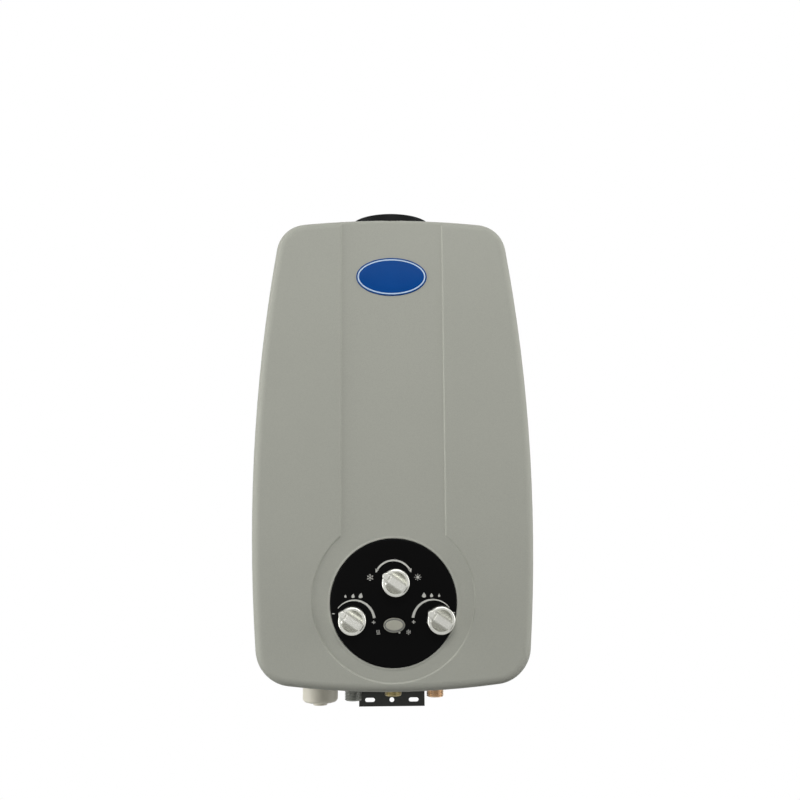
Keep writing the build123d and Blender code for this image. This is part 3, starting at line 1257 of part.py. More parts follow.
NODES = {
    "front_cover": make_front_cover,
    "control_panel": make_control_panel,
    "season_knob": lambda: make_knob("season"),
    "gas_knob": lambda: make_knob("gas"),
    "water_knob": lambda: make_knob("water"),
    "season_spindle": lambda: make_spindle("season"),
    "gas_spindle": lambda: make_spindle("gas"),
    "water_spindle": lambda: make_spindle("water"),
    "indicator_bezel": make_indicator_bezel,
    "indicator_lens": make_indicator_lens,
    "indicator_body": make_indicator_body,
    "temperature_pointer": make_temperature_pointer,
    "back_plate": make_back_plate,
    "lower_bracket": make_lower_bracket,
    "connection_shelf": make_connection_shelf,
    "frame_screws": make_frame_screws,
    "cover_screws": make_cover_screws,
    "standoff_brackets": make_standoff_brackets,
    "flue_spigot": make_flue_spigot,
    "draught_hood": make_draught_hood,
    "combustion_chamber": make_combustion_chamber,
    "fin_pack": make_fin_pack,
    "exchanger_tubes": make_exchanger_tubes,
    "return_bends": make_return_bends,
    "inlet_pipe": make_inlet_pipe,
    "outlet_pipe": make_outlet_pipe,
    "union_nut": make_union_nut,
    "burner_bars": make_burner_bars,
    "burner_frame": make_burner_frame,
    "gas_manifold": make_gas_manifold,
    "injectors": make_injectors,
    "gas_valve": make_gas_valve,
    "season_valve": make_season_valve,
    "solenoid_valve": make_solenoid_valve,
    "water_valve": make_water_valve,
    "diaphragm_cover": make_diaphragm_cover,
    "diaphragm": make_diaphragm,
    "diaphragm_screws": make_diaphragm_screws,
    "push_rod": make_push_rod,
    "microswitch": make_microswitch,
    "switch_plunger": make_switch_plunger,
    "hot_outlet": make_hot_outlet,
    "gas_inlet": make_gas_inlet,
    "cold_inlet": make_cold_inlet,
    "lock_nuts": make_lock_nuts,
    "ignition_module": make_ignition_module,
    "spark_electrode": lambda: electrode(ELECTRODE_PLACE),
    "flame_sensor": lambda: electrode(SENSOR_PLACE),
    "electrode_bracket": make_electrode_bracket,
    "ignition_lead": make_ignition_lead,
    "sensor_lead": make_sensor_lead,
    "overheat_cutout": make_overheat_cutout,
    "battery_tube": make_battery_tube,
    "battery": make_battery,
    "battery_contact": make_battery_contact,
    "battery_cap": make_battery_cap,
    "cap_contact": make_cap_contact,
}

os.makedirs("parts", exist_ok=True)
for name, make in NODES.items():
    shape = make()
    if isinstance(shape, list):
        shape = Compound(children=shape)
    export_step(shape, f"parts/{name}.step")
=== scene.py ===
import json
import math

import bmesh
import bpy
from mathutils import Matrix, Vector


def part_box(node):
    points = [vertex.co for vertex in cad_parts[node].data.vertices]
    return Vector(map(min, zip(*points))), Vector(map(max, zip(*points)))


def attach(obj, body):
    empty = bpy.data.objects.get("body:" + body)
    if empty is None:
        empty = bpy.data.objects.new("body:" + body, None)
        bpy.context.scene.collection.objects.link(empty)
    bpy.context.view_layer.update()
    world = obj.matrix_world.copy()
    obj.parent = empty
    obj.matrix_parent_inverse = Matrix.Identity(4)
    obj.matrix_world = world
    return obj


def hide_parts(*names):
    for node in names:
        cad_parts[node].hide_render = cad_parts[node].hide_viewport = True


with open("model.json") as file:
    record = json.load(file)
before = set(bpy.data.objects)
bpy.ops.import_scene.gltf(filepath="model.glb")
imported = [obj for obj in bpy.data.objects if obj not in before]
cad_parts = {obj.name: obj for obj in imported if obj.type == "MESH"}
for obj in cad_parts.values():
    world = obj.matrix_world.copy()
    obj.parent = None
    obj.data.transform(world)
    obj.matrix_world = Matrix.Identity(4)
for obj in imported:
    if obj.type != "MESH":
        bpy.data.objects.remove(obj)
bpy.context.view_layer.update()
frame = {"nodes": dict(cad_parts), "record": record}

MM = 0.001
BODY = "heater"
WHITE = (1.0, 1.0, 1.0, 1.0)


# Materials

NOISE_LOW = 0.3
NOISE_HIGH = 0.7
MIX_FACTOR = 0
MIX_FIRST = 6
MIX_SECOND = 7
MIX_COLOUR = 2


def srgb(red, green, blue):
    """Linear colour of an 8-bit screen colour."""
    def linear(value):
        value = value / 255.0
        if value <= 0.04045:
            return value / 12.92
        return ((value + 0.055) / 1.055) ** 2.4
    return (linear(red), linear(green), linear(blue), 1.0)


def shade(colour, factor):
    return tuple(min(1.0, part * factor) for part in colour[:3]) + (1.0,)


class Surface:
    """A principled material whose colour, roughness and bump come from noise in metres."""

    def __init__(self, name):
        self.material = bpy.data.materials.new(name)
        self.material.use_nodes = True
        self.tree = self.material.node_tree
        self.shader = self.tree.nodes["Principled BSDF"]
        self.place = self.tree.nodes.new("ShaderNodeTexCoord").outputs["Object"]

    def set(self, **values):
        for key, value in values.items():
            self.shader.inputs[key.replace("_", " ")].default_value = value
        return self

    def node(self, kind, **values):
        """New node with these input values. An underscore in a name stands for a space."""
        node = self.tree.nodes.new(kind)
        for key, value in values.items():
            node.inputs[key.replace("_", " ")].default_value = value
        return node

    def link(self, source, target):
        self.tree.links.new(source, target)

    def noise(self, scale, detail, roughness=0.55):
        node = self.node("ShaderNodeTexNoise", Scale=scale, Detail=detail, Roughness=roughness)
        self.link(self.place, node.inputs["Vector"])
        return node.outputs["Fac"]

    def cells(self, scale):
        node = self.node("ShaderNodeTexVoronoi", Scale=scale)
        self.link(self.place, node.inputs["Vector"])
        split = self.node("ShaderNodeSeparateColor")
        self.link(node.outputs["Color"], split.inputs["Color"])
        return split.outputs["Red"]

    def ramp(self, factor, first, last, start=NOISE_LOW, end=NOISE_HIGH):
        node = self.node("ShaderNodeValToRGB")
        elements = node.color_ramp.elements
        elements[0].position, elements[0].color = start, first
        elements[1].position, elements[1].color = end, last
        self.link(factor, node.inputs["Fac"])
        return node.outputs["Color"]

    def tones(self, factor, colour, dark, light):
        """The colour between a darker and a lighter tone of itself."""
        return self.ramp(factor, shade(colour, dark), shade(colour, light))

    def multiply(self, first, second):
        node = self.node("ShaderNodeMix")
        node.data_type = "RGBA"
        node.blend_type = "MULTIPLY"
        node.inputs[MIX_FACTOR].default_value = 1.0
        self.link(first, node.inputs[MIX_FIRST])
        self.link(second, node.inputs[MIX_SECOND])
        return node.outputs[MIX_COLOUR]

    def span(self, factor, low, high, start=NOISE_LOW, end=NOISE_HIGH):
        node = self.node("ShaderNodeMapRange", From_Min=start, From_Max=end, To_Min=low, To_Max=high)
        self.link(factor, node.inputs["Value"])
        return node.outputs["Result"]

    def colour(self, socket):
        self.link(socket, self.shader.inputs["Base Color"])

    def roughness(self, socket):
        self.link(socket, self.shader.inputs["Roughness"])

    def bump(self, height, strength, distance):
        node = self.node("ShaderNodeBump", Strength=strength, Distance=distance)
        self.link(height, node.inputs["Height"])
        self.link(node.outputs["Normal"], self.shader.inputs["Normal"])


METAL_CLOUD = 45.0
METAL_SMOOTH = 0.8
METAL_DULL = 1.25
METAL_RELIEF = 0.12
METAL_BUMP = 0.06 * MM
PLASTIC_IOR = 1.46
PLASTIC_CLOUD = 30.0
PLASTIC_DARK = 0.94
PLASTIC_LIGHT = 1.05
PLASTIC_SMOOTH = 0.85
PLASTIC_DULL = 1.2
PLASTIC_BUMP = 0.05 * MM


def plain_metal(name, colour, rough, mottle=0.12, grain=900.0, metallic=1.0):
    surface = Surface(name).set(Metallic=metallic)
    cloud = surface.noise(METAL_CLOUD, detail=4.0)
    fine = surface.noise(grain, detail=3.0, roughness=0.6)
    surface.colour(surface.tones(cloud, colour, 1.0 - mottle, 1.0 + mottle))
    surface.roughness(surface.span(fine, rough * METAL_SMOOTH, rough * METAL_DULL))
    surface.bump(fine, METAL_RELIEF, METAL_BUMP)
    return surface.material


def plain_plastic(name, colour, rough, grain=1800.0, relief=0.1, specular=0.5):
    surface = Surface(name).set(IOR=PLASTIC_IOR, Specular_IOR_Level=specular)
    cloud = surface.noise(PLASTIC_CLOUD, detail=3.0)
    fine = surface.noise(grain, detail=2.0, roughness=0.5)
    surface.colour(surface.tones(cloud, colour, PLASTIC_DARK, PLASTIC_LIGHT))
    surface.roughness(surface.span(fine, rough * PLASTIC_SMOOTH, rough * PLASTIC_DULL))
    surface.bump(fine, relief, PLASTIC_BUMP)
    return surface.material


PAINT_COLOUR = srgb(165, 166, 157)
PAINT_SPECULAR = 0.08
PAINT_CLOUD = 7.0
PAINT_DARK = 0.985
PAINT_LIGHT = 1.015
PAINT_SMOOTH = 0.43
PAINT_DULL = 0.53
FLAKE_SCALE = 2600.0
FLAKE_DARK = (0.93, 0.93, 0.93, 1.0)
FLAKE_LIGHT = (1.06, 1.06, 1.05, 1.0)
PEEL_SCALE = 420.0
PEEL_RELIEF = 0.05
PEEL_BUMP = 0.1 * MM


def casing_paint():
    """Silver-grey stoving paint with fine flake and a trace of orange peel."""
    surface = Surface("casing_paint").set(Specular_IOR_Level=PAINT_SPECULAR)
    flake = surface.cells(FLAKE_SCALE)
    cloud = surface.noise(PAINT_CLOUD, detail=3.0)
    peel = surface.noise(PEEL_SCALE, detail=2.0, roughness=0.4)
    base = surface.tones(cloud, PAINT_COLOUR, PAINT_DARK, PAINT_LIGHT)
    speck = surface.ramp(flake, FLAKE_DARK, FLAKE_LIGHT, start=0.0, end=1.0)
    surface.colour(surface.multiply(base, speck))
    surface.roughness(surface.span(flake, PAINT_SMOOTH, PAINT_DULL, start=0.0, end=1.0))
    surface.bump(peel, PEEL_RELIEF, PEEL_BUMP)
    return surface.material


METALS = {
    "knob_satin": dict(colour=srgb(194, 194, 187), rough=0.24, mottle=0.03, grain=1600.0, metallic=0.9),
    "brass": dict(colour=srgb(172, 162, 128), rough=0.32),
    "indicator_rim": dict(colour=srgb(128, 128, 118), rough=0.35, mottle=0.04, metallic=0.6),
    "galvanised": dict(colour=srgb(176, 180, 182), rough=0.42, mottle=0.16),
    "screw_steel": dict(colour=srgb(178, 178, 176), rough=0.3),
    "sheet_aluminium": dict(colour=srgb(192, 194, 196), rough=0.38),
    "copper": dict(colour=srgb(196, 118, 84), rough=0.33, mottle=0.16),
    "burner_steel": dict(colour=srgb(150, 148, 144), rough=0.42, mottle=0.18),
    "solenoid_zinc": dict(colour=srgb(182, 180, 168), rough=0.4),
    "hot_steel": dict(colour=srgb(152, 153, 148), rough=0.38),
    "cold_copper": dict(colour=srgb(198, 174, 147), rough=0.32, mottle=0.14),
    "contact_spring": dict(colour=srgb(188, 184, 170), rough=0.3),
}
PLASTICS = {
    "panel_black": dict(colour=srgb(5, 5, 5), rough=0.2, grain=1200.0, relief=0.03, specular=0.05),
    "indicator_face": dict(colour=srgb(168, 167, 154), rough=0.3),
    "grey_plastic": dict(colour=srgb(95, 96, 96), rough=0.5),
    "pointer_white": dict(colour=srgb(236, 236, 230), rough=0.4),
    "bracket_black": dict(colour=srgb(41, 42, 39), rough=0.5, grain=1500.0, relief=0.25, specular=0.3),
    "flue_black": dict(colour=srgb(12, 13, 14), rough=0.55, grain=1400.0, relief=0.3, specular=0.1),
    "diaphragm_rubber": dict(colour=srgb(30, 30, 30), rough=0.65),
    "switch_black": dict(colour=srgb(34, 34, 36), rough=0.5),
    "switch_red": dict(colour=srgb(176, 40, 34), rough=0.45),
    "electrode_ceramic": dict(colour=srgb(228, 222, 208), rough=0.35),
    "lead_sleeve": dict(colour=srgb(150, 52, 40), rough=0.55),
    "battery_wrap": dict(colour=srgb(46, 92, 70), rough=0.35),
    "cap_white": dict(colour=srgb(232, 228, 212), rough=0.42, grain=1500.0, specular=0.35),
    "badge_blue": dict(colour=srgb(0, 67, 139), rough=0.3, grain=900.0, relief=0.03, specular=0.05),
    "badge_edge": dict(colour=srgb(20, 66, 128), rough=0.3, grain=900.0, relief=0.03, specular=0.06),
    "badge_line": dict(colour=srgb(186, 208, 230), rough=0.35, grain=900.0, relief=0.03, specular=0.2),
    "print_grey": dict(colour=srgb(190, 190, 184), rough=0.45, grain=1400.0, relief=0.05, specular=0.3),
}
MATERIALS = {"casing_paint": casing_paint()}
MATERIALS.update({name: plain_metal(name, **finish) for name, finish in METALS.items()})
MATERIALS.update({name: plain_plastic(name, **finish) for name, finish in PLASTICS.items()})


def dress_nodes():
    for node in frame["nodes"].values():
        slots = node.data.materials
        for index in range(len(slots)):
            title = slots[index].name.split(".")[0] if slots[index] else ""
            if title in MATERIALS:
                slots[index] = MATERIALS[title]


dress_nodes()


# Mesh helpers

SHARP_ANGLE = math.radians(35.0)


def mesh_object(name, maker):
    """Turns a bmesh into an object of the scene."""
    mesh = bpy.data.meshes.new(name)
    maker.to_mesh(mesh)
    maker.free()
    item = bpy.data.objects.new(name, mesh)
    bpy.context.scene.collection.objects.link(item)
    return item


def add_piece(name, maker, materials, smooth=True):
    """Turns a bmesh into a piece that rides the casing."""
    bmesh.ops.recalc_face_normals(maker, faces=maker.faces)
    piece = mesh_object(name, maker)
    for material in materials:
        piece.data.materials.append(MATERIALS[material])
    if smooth:
        piece.data.shade_smooth()
        piece.data.set_sharp_from_angle(angle=SHARP_ANGLE)
    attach(piece, BODY)
    return piece


def join_rings(maker, first, second):
    """Faces between two rings that have as many vertices."""
    faces = []
    for step in range(len(first)):
        after = (step + 1) % len(first)
        faces.append(maker.faces.new((first[step], first[after], second[after], second[step])))
    return faces


def box_of(node):
    low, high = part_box(node)
    return Vector(low), Vector(high)


def middle_of(node):
    low, high = box_of(node)
    return (low + high) / 2


def heading(degrees):
    """Flat direction at an angle anticlockwise from the right."""
    angle = math.radians(degrees)
    return Vector((math.cos(angle), math.sin(angle)))


# Print on the control panel

PANEL_FRONT_Y = box_of("control_panel")[0].y
PANEL_X = middle_of("control_panel").x
PANEL_Z = middle_of("control_panel").z
PRINT_T = 0.08 * MM
TOP = 90.0
QUARTER_TURN = 90.0
FULL_TURN = 360.0
ARC_STEPS = 40
DISC_STEPS = 28
DROP_STEPS = 32

# Signs, as shares of their size
SIGN_STROKE = 0.16
SUN_DISC = 0.45
SUN_RAY_START = 0.62
SUN_RAYS = 8
SNOW_ARMS = 6
SNOW_FORK_AT = 0.6
SNOW_FORK_TURN = 50.0
SNOW_FORK_L = 0.32
SNOW_FORK_W = 0.14
DROP_WIDTH = 1.1
DROP_TAPER = 1.5
STEAM_GAP = 0.55
STEAM_WAVE = 0.14
STEAM_STROKE = 0.2
STEAM_STEPS = 8


class Print:
    """Flat shapes screened on the panel face, placed in millimetres from the panel's centre."""

    def __init__(self):
        self.maker = bmesh.new()

    def shape(self, points):
        front, back = (
            [self.maker.verts.new((PANEL_X + x * MM, y, PANEL_Z + z * MM)) for x, z in points]
            for y in (PANEL_FRONT_Y - PRINT_T, PANEL_FRONT_Y + PRINT_T)
        )
        self.maker.faces.new(front)
        self.maker.faces.new(list(reversed(back)))
        join_rings(self.maker, back, front)

    def strip(self, centre, radius, start, end, wide_start, wide_end):
        """Arc of changing width, its angles in degrees anticlockwise from the right."""
        outer, inner = [], []
        for index in range(ARC_STEPS + 1):
            share = index / ARC_STEPS
            way = heading(start + (end - start) * share)
            half = (wide_start + (wide_end - wide_start) * share) / 2
            outer.append(Vector(centre) + way * (radius + half))
            inner.append(Vector(centre) + way * (radius - half))
        for index in range(ARC_STEPS):
            self.shape([outer[index], outer[index + 1], inner[index + 1], inner[index]])

    def disc(self, centre, radius):
        self.shape([Vector(centre) + heading(FULL_TURN * index / DISC_STEPS) * radius
                    for index in range(DISC_STEPS)])

    def bar(self, start, end, wide):
        start, end = Vector(start), Vector(end)
        line = end - start
        side = Vector((-line.y, line.x)).normalized() * wide / 2
        self.shape([start + side, end + side, end - side, start - side])

    def minus(self, centre, half, wide):
        self.bar((centre[0] - half, centre[1]), (centre[0] + half, centre[1]), wide)

    def plus(self, centre, half, wide):
        self.minus(centre, half, wide)
        self.bar((centre[0], centre[1] - half), (centre[0], centre[1] + half), wide)

    def arrowhead(self, tip, angle, length, wide):
        way = heading(angle)
        side = Vector((-way.y, way.x)) * wide / 2
        root = Vector(tip) - way * length
        self.shape([tip, root + side, root - side])

    def sun(self, centre, size):
        centre = Vector(centre)
        self.disc(centre, size * SUN_DISC)
        for index in range(SUN_RAYS):
            way = heading(FULL_TURN * index / SUN_RAYS) * size
            self.bar(centre + way * SUN_RAY_START, centre + way, size * SIGN_STROKE)

    def snowflake(self, centre, size):
        centre = Vector(centre)
        for index in range(SNOW_ARMS):
            angle = TOP + FULL_TURN * index / SNOW_ARMS
            way = heading(angle) * size
            self.bar(centre, centre + way, size * SIGN_STROKE)
            fork = centre + way * SNOW_FORK_AT
            for turn in (-SNOW_FORK_TURN, SNOW_FORK_TURN):
                reach = heading(angle + turn) * size * SNOW_FORK_L
                self.bar(fork, fork + reach, size * SNOW_FORK_W)

    def drop(self, centre, size, lean=0.0):
        """Water drop, or a flame where it leans."""
        points = []
        for index in range(DROP_STEPS):
            angle = 2 * math.pi * index / DROP_STEPS
            wide = DROP_WIDTH * math.sin(angle) * math.sin(angle / 2) ** DROP_TAPER
            high = math.cos(angle)
            shift = lean * max(0.0, high) ** 2
            points.append((centre[0] + size * (wide + shift), centre[1] + size * high))
        self.shape(points)

    def steam(self, centre, size):
        for shift in (-STEAM_GAP, 0.0, STEAM_GAP):
            column = Vector(centre) + Vector((shift * size, 0.0))
            path = []
            for step in range(STEAM_STEPS + 1):
                wave = STEAM_WAVE * math.sin(2 * math.pi * step / STEAM_STEPS)
                path.append(column + Vector((wave, 2 * step / STEAM_STEPS - 1)) * size)
            for first, second in zip(path, path[1:]):
                self.bar(first, second, size * STEAM_STROKE)


# Places and sizes on the panel, in millimetres from its centre, and angles from each arc's top
SEASON_ARC = (0.1, 25.4)
SEASON_ARC_R = 21.4
SEASON_ARC_W = 1.9
SEASON_ARC_ANGLE = 60.0
SEASON_TIP_ANGLE = 68.0
ARROW_L = 4.0
ARROW_W = 4.2
CONTROL_ARC_X = 44.2
CONTROL_ARC_Z = -19.6
CONTROL_ARC_R = 22.8
CONTROL_LOW_ANGLE = 52.0
CONTROL_HIGH_ANGLE = 82.0
CONTROL_LOW_W = 0.7
CONTROL_HIGH_W = 3.0
PLUS_X = 22.3
PLUS_Z = -21.0
PLUS_HALF = 1.9
MINUS_X = 67.2
MINUS_Z = -11.3
MINUS_HALF = 1.5
SIGN_LINE_W = 0.9
WINTER_SIGN = (-26.2, 28.0)
SUMMER_SIGN = (27.4, 28.0)
SEASON_SIGN_SIZE = 3.8
FLAME_X = -45.3
FLAME_LEAN = 0.35
DROP_X = 42.6
DROP_Z = 7.0
DROP_PITCH = 8.5
DROP_SIZE = 2.3
DROP_GROWTH = 0.6
STEAM_SIGN = (-17.2, -32.0)
STEAM_SIGN_SIZE = 2.6
COLD_SIGN = (16.6, -32.0)
COLD_SIGN_SIZE = 2.8


def print_panel():
    ink = Print()
    ink.strip(SEASON_ARC, SEASON_ARC_R, TOP + SEASON_ARC_ANGLE, TOP - SEASON_ARC_ANGLE,
              SEASON_ARC_W, SEASON_ARC_W)
    for side in (-1, 1):
        angle = TOP - side * SEASON_TIP_ANGLE
        tip = Vector(SEASON_ARC) + heading(angle) * SEASON_ARC_R
        ink.arrowhead(tip, angle - side * QUARTER_TURN, ARROW_L, ARROW_W)
        ink.strip((side * CONTROL_ARC_X, CONTROL_ARC_Z), CONTROL_ARC_R,
                  TOP + side * CONTROL_HIGH_ANGLE, TOP - side * CONTROL_LOW_ANGLE,
                  CONTROL_HIGH_W, CONTROL_LOW_W)
        ink.plus((side * PLUS_X, PLUS_Z), PLUS_HALF, SIGN_LINE_W)
        ink.minus((side * MINUS_X, MINUS_Z), MINUS_HALF, SIGN_LINE_W)
    ink.snowflake(WINTER_SIGN, SEASON_SIGN_SIZE)
    ink.sun(SUMMER_SIGN, SEASON_SIGN_SIZE)
    for index in range(-1, 2):
        size = DROP_SIZE + DROP_GROWTH * index
        ink.drop((FLAME_X + DROP_PITCH * index, DROP_Z + size / 2), size, FLAME_LEAN)
        ink.drop((DROP_X - DROP_PITCH * index, DROP_Z + size / 2), size)
    ink.steam(STEAM_SIGN, STEAM_SIGN_SIZE)
    ink.snowflake(COLD_SIGN, COLD_SIGN_SIZE)
    add_piece("panel_print", ink.maker, ["print_grey"], smooth=False)


print_panel()


# Bare oval badge on the recess floor

BADGE_X = -0.3 * MM
BADGE_Z = -16.4 * MM
BADGE_HALF_W = 41.6 * MM
BADGE_HALF_H = 23.0 * MM
RECESS_FLOOR = 1.2 * MM
BADGE_MATERIALS = ["badge_edge", "badge_line", "badge_blue"]
EDGE, LINE, FACE = range(len(BADGE_MATERIALS))
BADGE_RINGS = (
    # inset from the edge, height over the recess floor, material
    (0.0, -0.3, EDGE),
    (0.0, 0.5, EDGE),
    (0.35, 0.8, EDGE),
    (1.7, 0.85, EDGE),
    (1.9, 1.0, LINE),
    (3.2, 1.0, LINE),
    (3.4, 0.85, FACE),
    (7.0, 1.0, FACE),
    (13.0, 1.15, FACE),
    (20.0, 1.2, FACE),
)
OVAL_STEPS = 128


def oval_rows(maker, centre, half_w, half_h, rings):
    """Oval rings of vertices in front of the centre, joined in turn."""
    rows = []
    for inset, height, _ in rings:
        row = []
        for step in range(OVAL_STEPS):
            angle = 2 * math.pi * step / OVAL_STEPS
            x = centre.x + (half_w - inset * MM) * math.cos(angle)
            z = centre.z + (half_h - inset * MM) * math.sin(angle)
            row.append(maker.verts.new((x, centre.y - height * MM, z)))
        rows.append(row)
    for first, second, (_, _, index) in zip(rows, rows[1:], rings[1:]):
        for face in join_rings(maker, first, second):
            face.material_index = index
    return rows


def badge_plate():
    floor_y = box_of("front_cover")[0].y + RECESS_FLOOR
    centre = Vector((BADGE_X, floor_y, BADGE_Z))
    maker = bmesh.new()
    rows = oval_rows(maker, centre, BADGE_HALF_W, BADGE_HALF_H, BADGE_RINGS)
    maker.faces.new(rows[-1]).material_index = FACE
    maker.faces.new(list(reversed(rows[0])))
    add_piece("badge_plate", maker, BADGE_MATERIALS)


badge_plate()


# Dark line inside the indicator's rim

RIM_LINE_RINGS = (
    # inset from the rim's edge, height over the rim's front, material
    (1.2, -0.1, 0),
    (1.2, 0.05, 0),
    (2.15, 0.05, 0),
    (2.15, -0.1, 0),
)


def rim_line():
    low, high = box_of("indicator_bezel")
    middle = (low + high) / 2
    half = (high - low) / 2
    maker = bmesh.new()
    rows = oval_rows(maker, Vector((middle.x, low.y, middle.z)), half.x, half.z, RIM_LINE_RINGS)
    join_rings(maker, rows[-1], rows[0])
    add_piece("indicator_rim_line", maker, ["grey_plastic"], smooth=False)


rim_line()


# Pipe threads on the three connections

THREAD_PITCH = 1.814 * MM
THREAD_DEPTH = 1.16 * MM
THREAD_CHAMFER = 1.0 * MM
THREAD_BORE_R = 7.5 * MM
NECK_DEPTH = 0.48 * MM
NUT_GAP = 1.0 * MM
SHELF_T = 1.5 * MM
HEX_H = 9.0 * MM
HEX_ANGLE = math.radians(60.0)
TUBE_R = 8.5 * MM
SOCKET_R = 6.15 * MM
RING_STEPS = 72
RINGS_PER_PITCH = 8


def turned_body(rings, axis, through):
    """Closed skin through rings of (height, radius at an angle). A through bore joins its ends."""
    maker = bmesh.new()
    rows = []
    for z, radius_at in rings:
        row = []
        for step in range(RING_STEPS):
            angle = 2 * math.pi * step / RING_STEPS
            radius = radius_at(angle, z)
            x = axis.x + radius * math.cos(angle)
            y = axis.y + radius * math.sin(angle)
            row.append(maker.verts.new((x, y, z)))
        rows.append(row)
    if through:
        rows.append(rows[0])
    else:
        maker.faces.new(rows[0])
        maker.faces.new(rows[-1])
    for first, second in zip(rows, rows[1:]):
        join_rings(maker, first, second)
    return maker


def cylinder_of(radius):
    return lambda angle, z: radius


def hexagon_of(corner_r):
    flat_r = corner_r * math.cos(HEX_ANGLE / 2)
    return lambda angle, z: flat_r / math.cos(angle % HEX_ANGLE - HEX_ANGLE / 2)


def mount_radius(name):
    for mount in frame["record"]["mounts"]:
        if mount["name"] == name:
            return mount["dims"]["r_mm"] * MM


def thread_of(crest_r, low_z, top_z):
    """Right-hand thread with rounded crests, chamfered at its end and running out at its top."""
    def radius_at(angle, z):
        turn = (z - low_z) / THREAD_PITCH - angle / (2 * math.pi)
        fade = min(1.0, (top_z - z) / THREAD_PITCH)
        radius = crest_r - THREAD_DEPTH * fade * (0.5 - 0.5 * math.cos(2 * math.pi * turn))
        return min(radius, crest_r - THREAD_CHAMFER + (z - low_z))
    return radius_at


def threaded_fitting(node, slot, through):
    low, high = box_of(node)
    crest_r = mount_radius(node)
    thread_top_z = box_of("lock_nuts")[0].z - NUT_GAP
    shelf_top_z = box_of("connection_shelf")[0].z + SHELF_T
    hex_top_z = shelf_top_z + HEX_H
    thread = thread_of(crest_r, low.z, thread_top_z)
    neck = cylinder_of(crest_r - NECK_DEPTH)
    hexagon = hexagon_of((high.x - low.x) / 2)
    tube = cylinder_of(TUBE_R)
    bore = cylinder_of(THREAD_BORE_R)
    rings = [(shelf_top_z, bore), (low.z, bore)]
    count = round((thread_top_z - low.z) / THREAD_PITCH * RINGS_PER_PITCH)
    for index in range(count + 1):
        rings.append((low.z + (thread_top_z - low.z) * index / count, thread))
    rings += [(thread_top_z, neck), (shelf_top_z, neck), (shelf_top_z, hexagon), (hex_top_z, hexagon)]
    rings += [(hex_top_z, tube), (high.z, tube)]
    if through:
        socket = cylinder_of(SOCKET_R)
        rings += [(high.z, socket), (shelf_top_z, socket)]
    skin = turned_body(rings, middle_of(node), through)
    piece = add_piece(node + "_thread", skin, [slot])
    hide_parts(node)


threaded_fitting("hot_outlet", "hot_steel", through=True)
threaded_fitting("gas_inlet", "brass", through=False)
threaded_fitting("cold_inlet", "cold_copper", through=False)


# Cross recess in the two screws on the casing's sides

CROSS_ARM = 2.3 * MM
CROSS_HALF_W = 0.55 * MM
CROSS_DEPTH = 1.4 * MM
CROSS_TAPER = 0.45
SAME_PLANE = 0.01 * MM


def cross_plug(maker, middle, axis):
    """Plus-shaped plug through the head's top that narrows toward its bottom."""
    side = axis.cross(Vector((0.0, 0.0, 1.0))).normalized()
    up = side.cross(axis)
    outline = []
    for along, across in ((side, up), (up, -side), (-side, -up), (-up, side)):
        outline += [along * CROSS_ARM - across * CROSS_HALF_W, along * CROSS_ARM + across * CROSS_HALF_W,
                    (along + across) * CROSS_HALF_W]
    rows = []
    for way in (-1, 1):
        level = middle + axis * (way * CROSS_DEPTH)
        rows.append([maker.verts.new(level + spot * (1 + way * CROSS_TAPER)) for spot in outline])
    low, high = rows
    maker.faces.new(low)
    maker.faces.new(high)
    join_rings(maker, low, high)
    bmesh.ops.recalc_face_normals(maker, faces=maker.faces)


def head_top(screws, side):
    """Middle and normal of the flat on top of the screw head on one side of the casing."""
    outer = max(screws.faces, key=lambda face: face.calc_center_median().x * side)
    axis = outer.normal.copy()
    level = axis.dot(outer.calc_center_median())
    flat = [vert.co for vert in screws.verts if abs(axis.dot(vert.co) - level) < SAME_PLANE]
    return sum(flat, Vector()) / len(flat), axis


def cross_screws(node, slot):
    screws = bmesh.new()
    screws.from_mesh(frame["nodes"][node].data)
    bmesh.ops.remove_doubles(screws, verts=screws.verts, dist=SAME_PLANE)
    screws.normal_update()
    plugs = bmesh.new()
    for side in (-1, 1):
        cross_plug(plugs, *head_top(screws, side))
    blank = mesh_object("screw_blank", screws)
    tool = mesh_object("screw_tool", plugs)
    cut = blank.modifiers.new("cross", "BOOLEAN")
    cut.operation = "DIFFERENCE"
    cut.solver = "EXACT"
    cut.object = tool
    view = bpy.context.evaluated_depsgraph_get()
    cut_mesh = bpy.data.meshes.new_from_object(blank.evaluated_get(view))
    maker = bmesh.new()
    maker.from_mesh(cut_mesh)
    for item in (blank, tool):
        bpy.data.objects.remove(item)
    piece = add_piece(node + "_cross", maker, [slot])
    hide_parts(node)


cross_screws("cover_screws", "screw_steel")


# Camera, light and floor

CAMERA_PLACE = (-18.709 * MM, -1198.268 * MM, -315.781 * MM)
CAMERA_YAW = 1.511
CAMERA_PITCH = 8.339
CAMERA_ROLL = -0.389
CAMERA_NEAR = 0.05
CAMERA_FAR = 50.0
FOCAL_PIXELS = 911.0
FRAME_PIXELS = 800.0
SENSOR_MM = 36.0


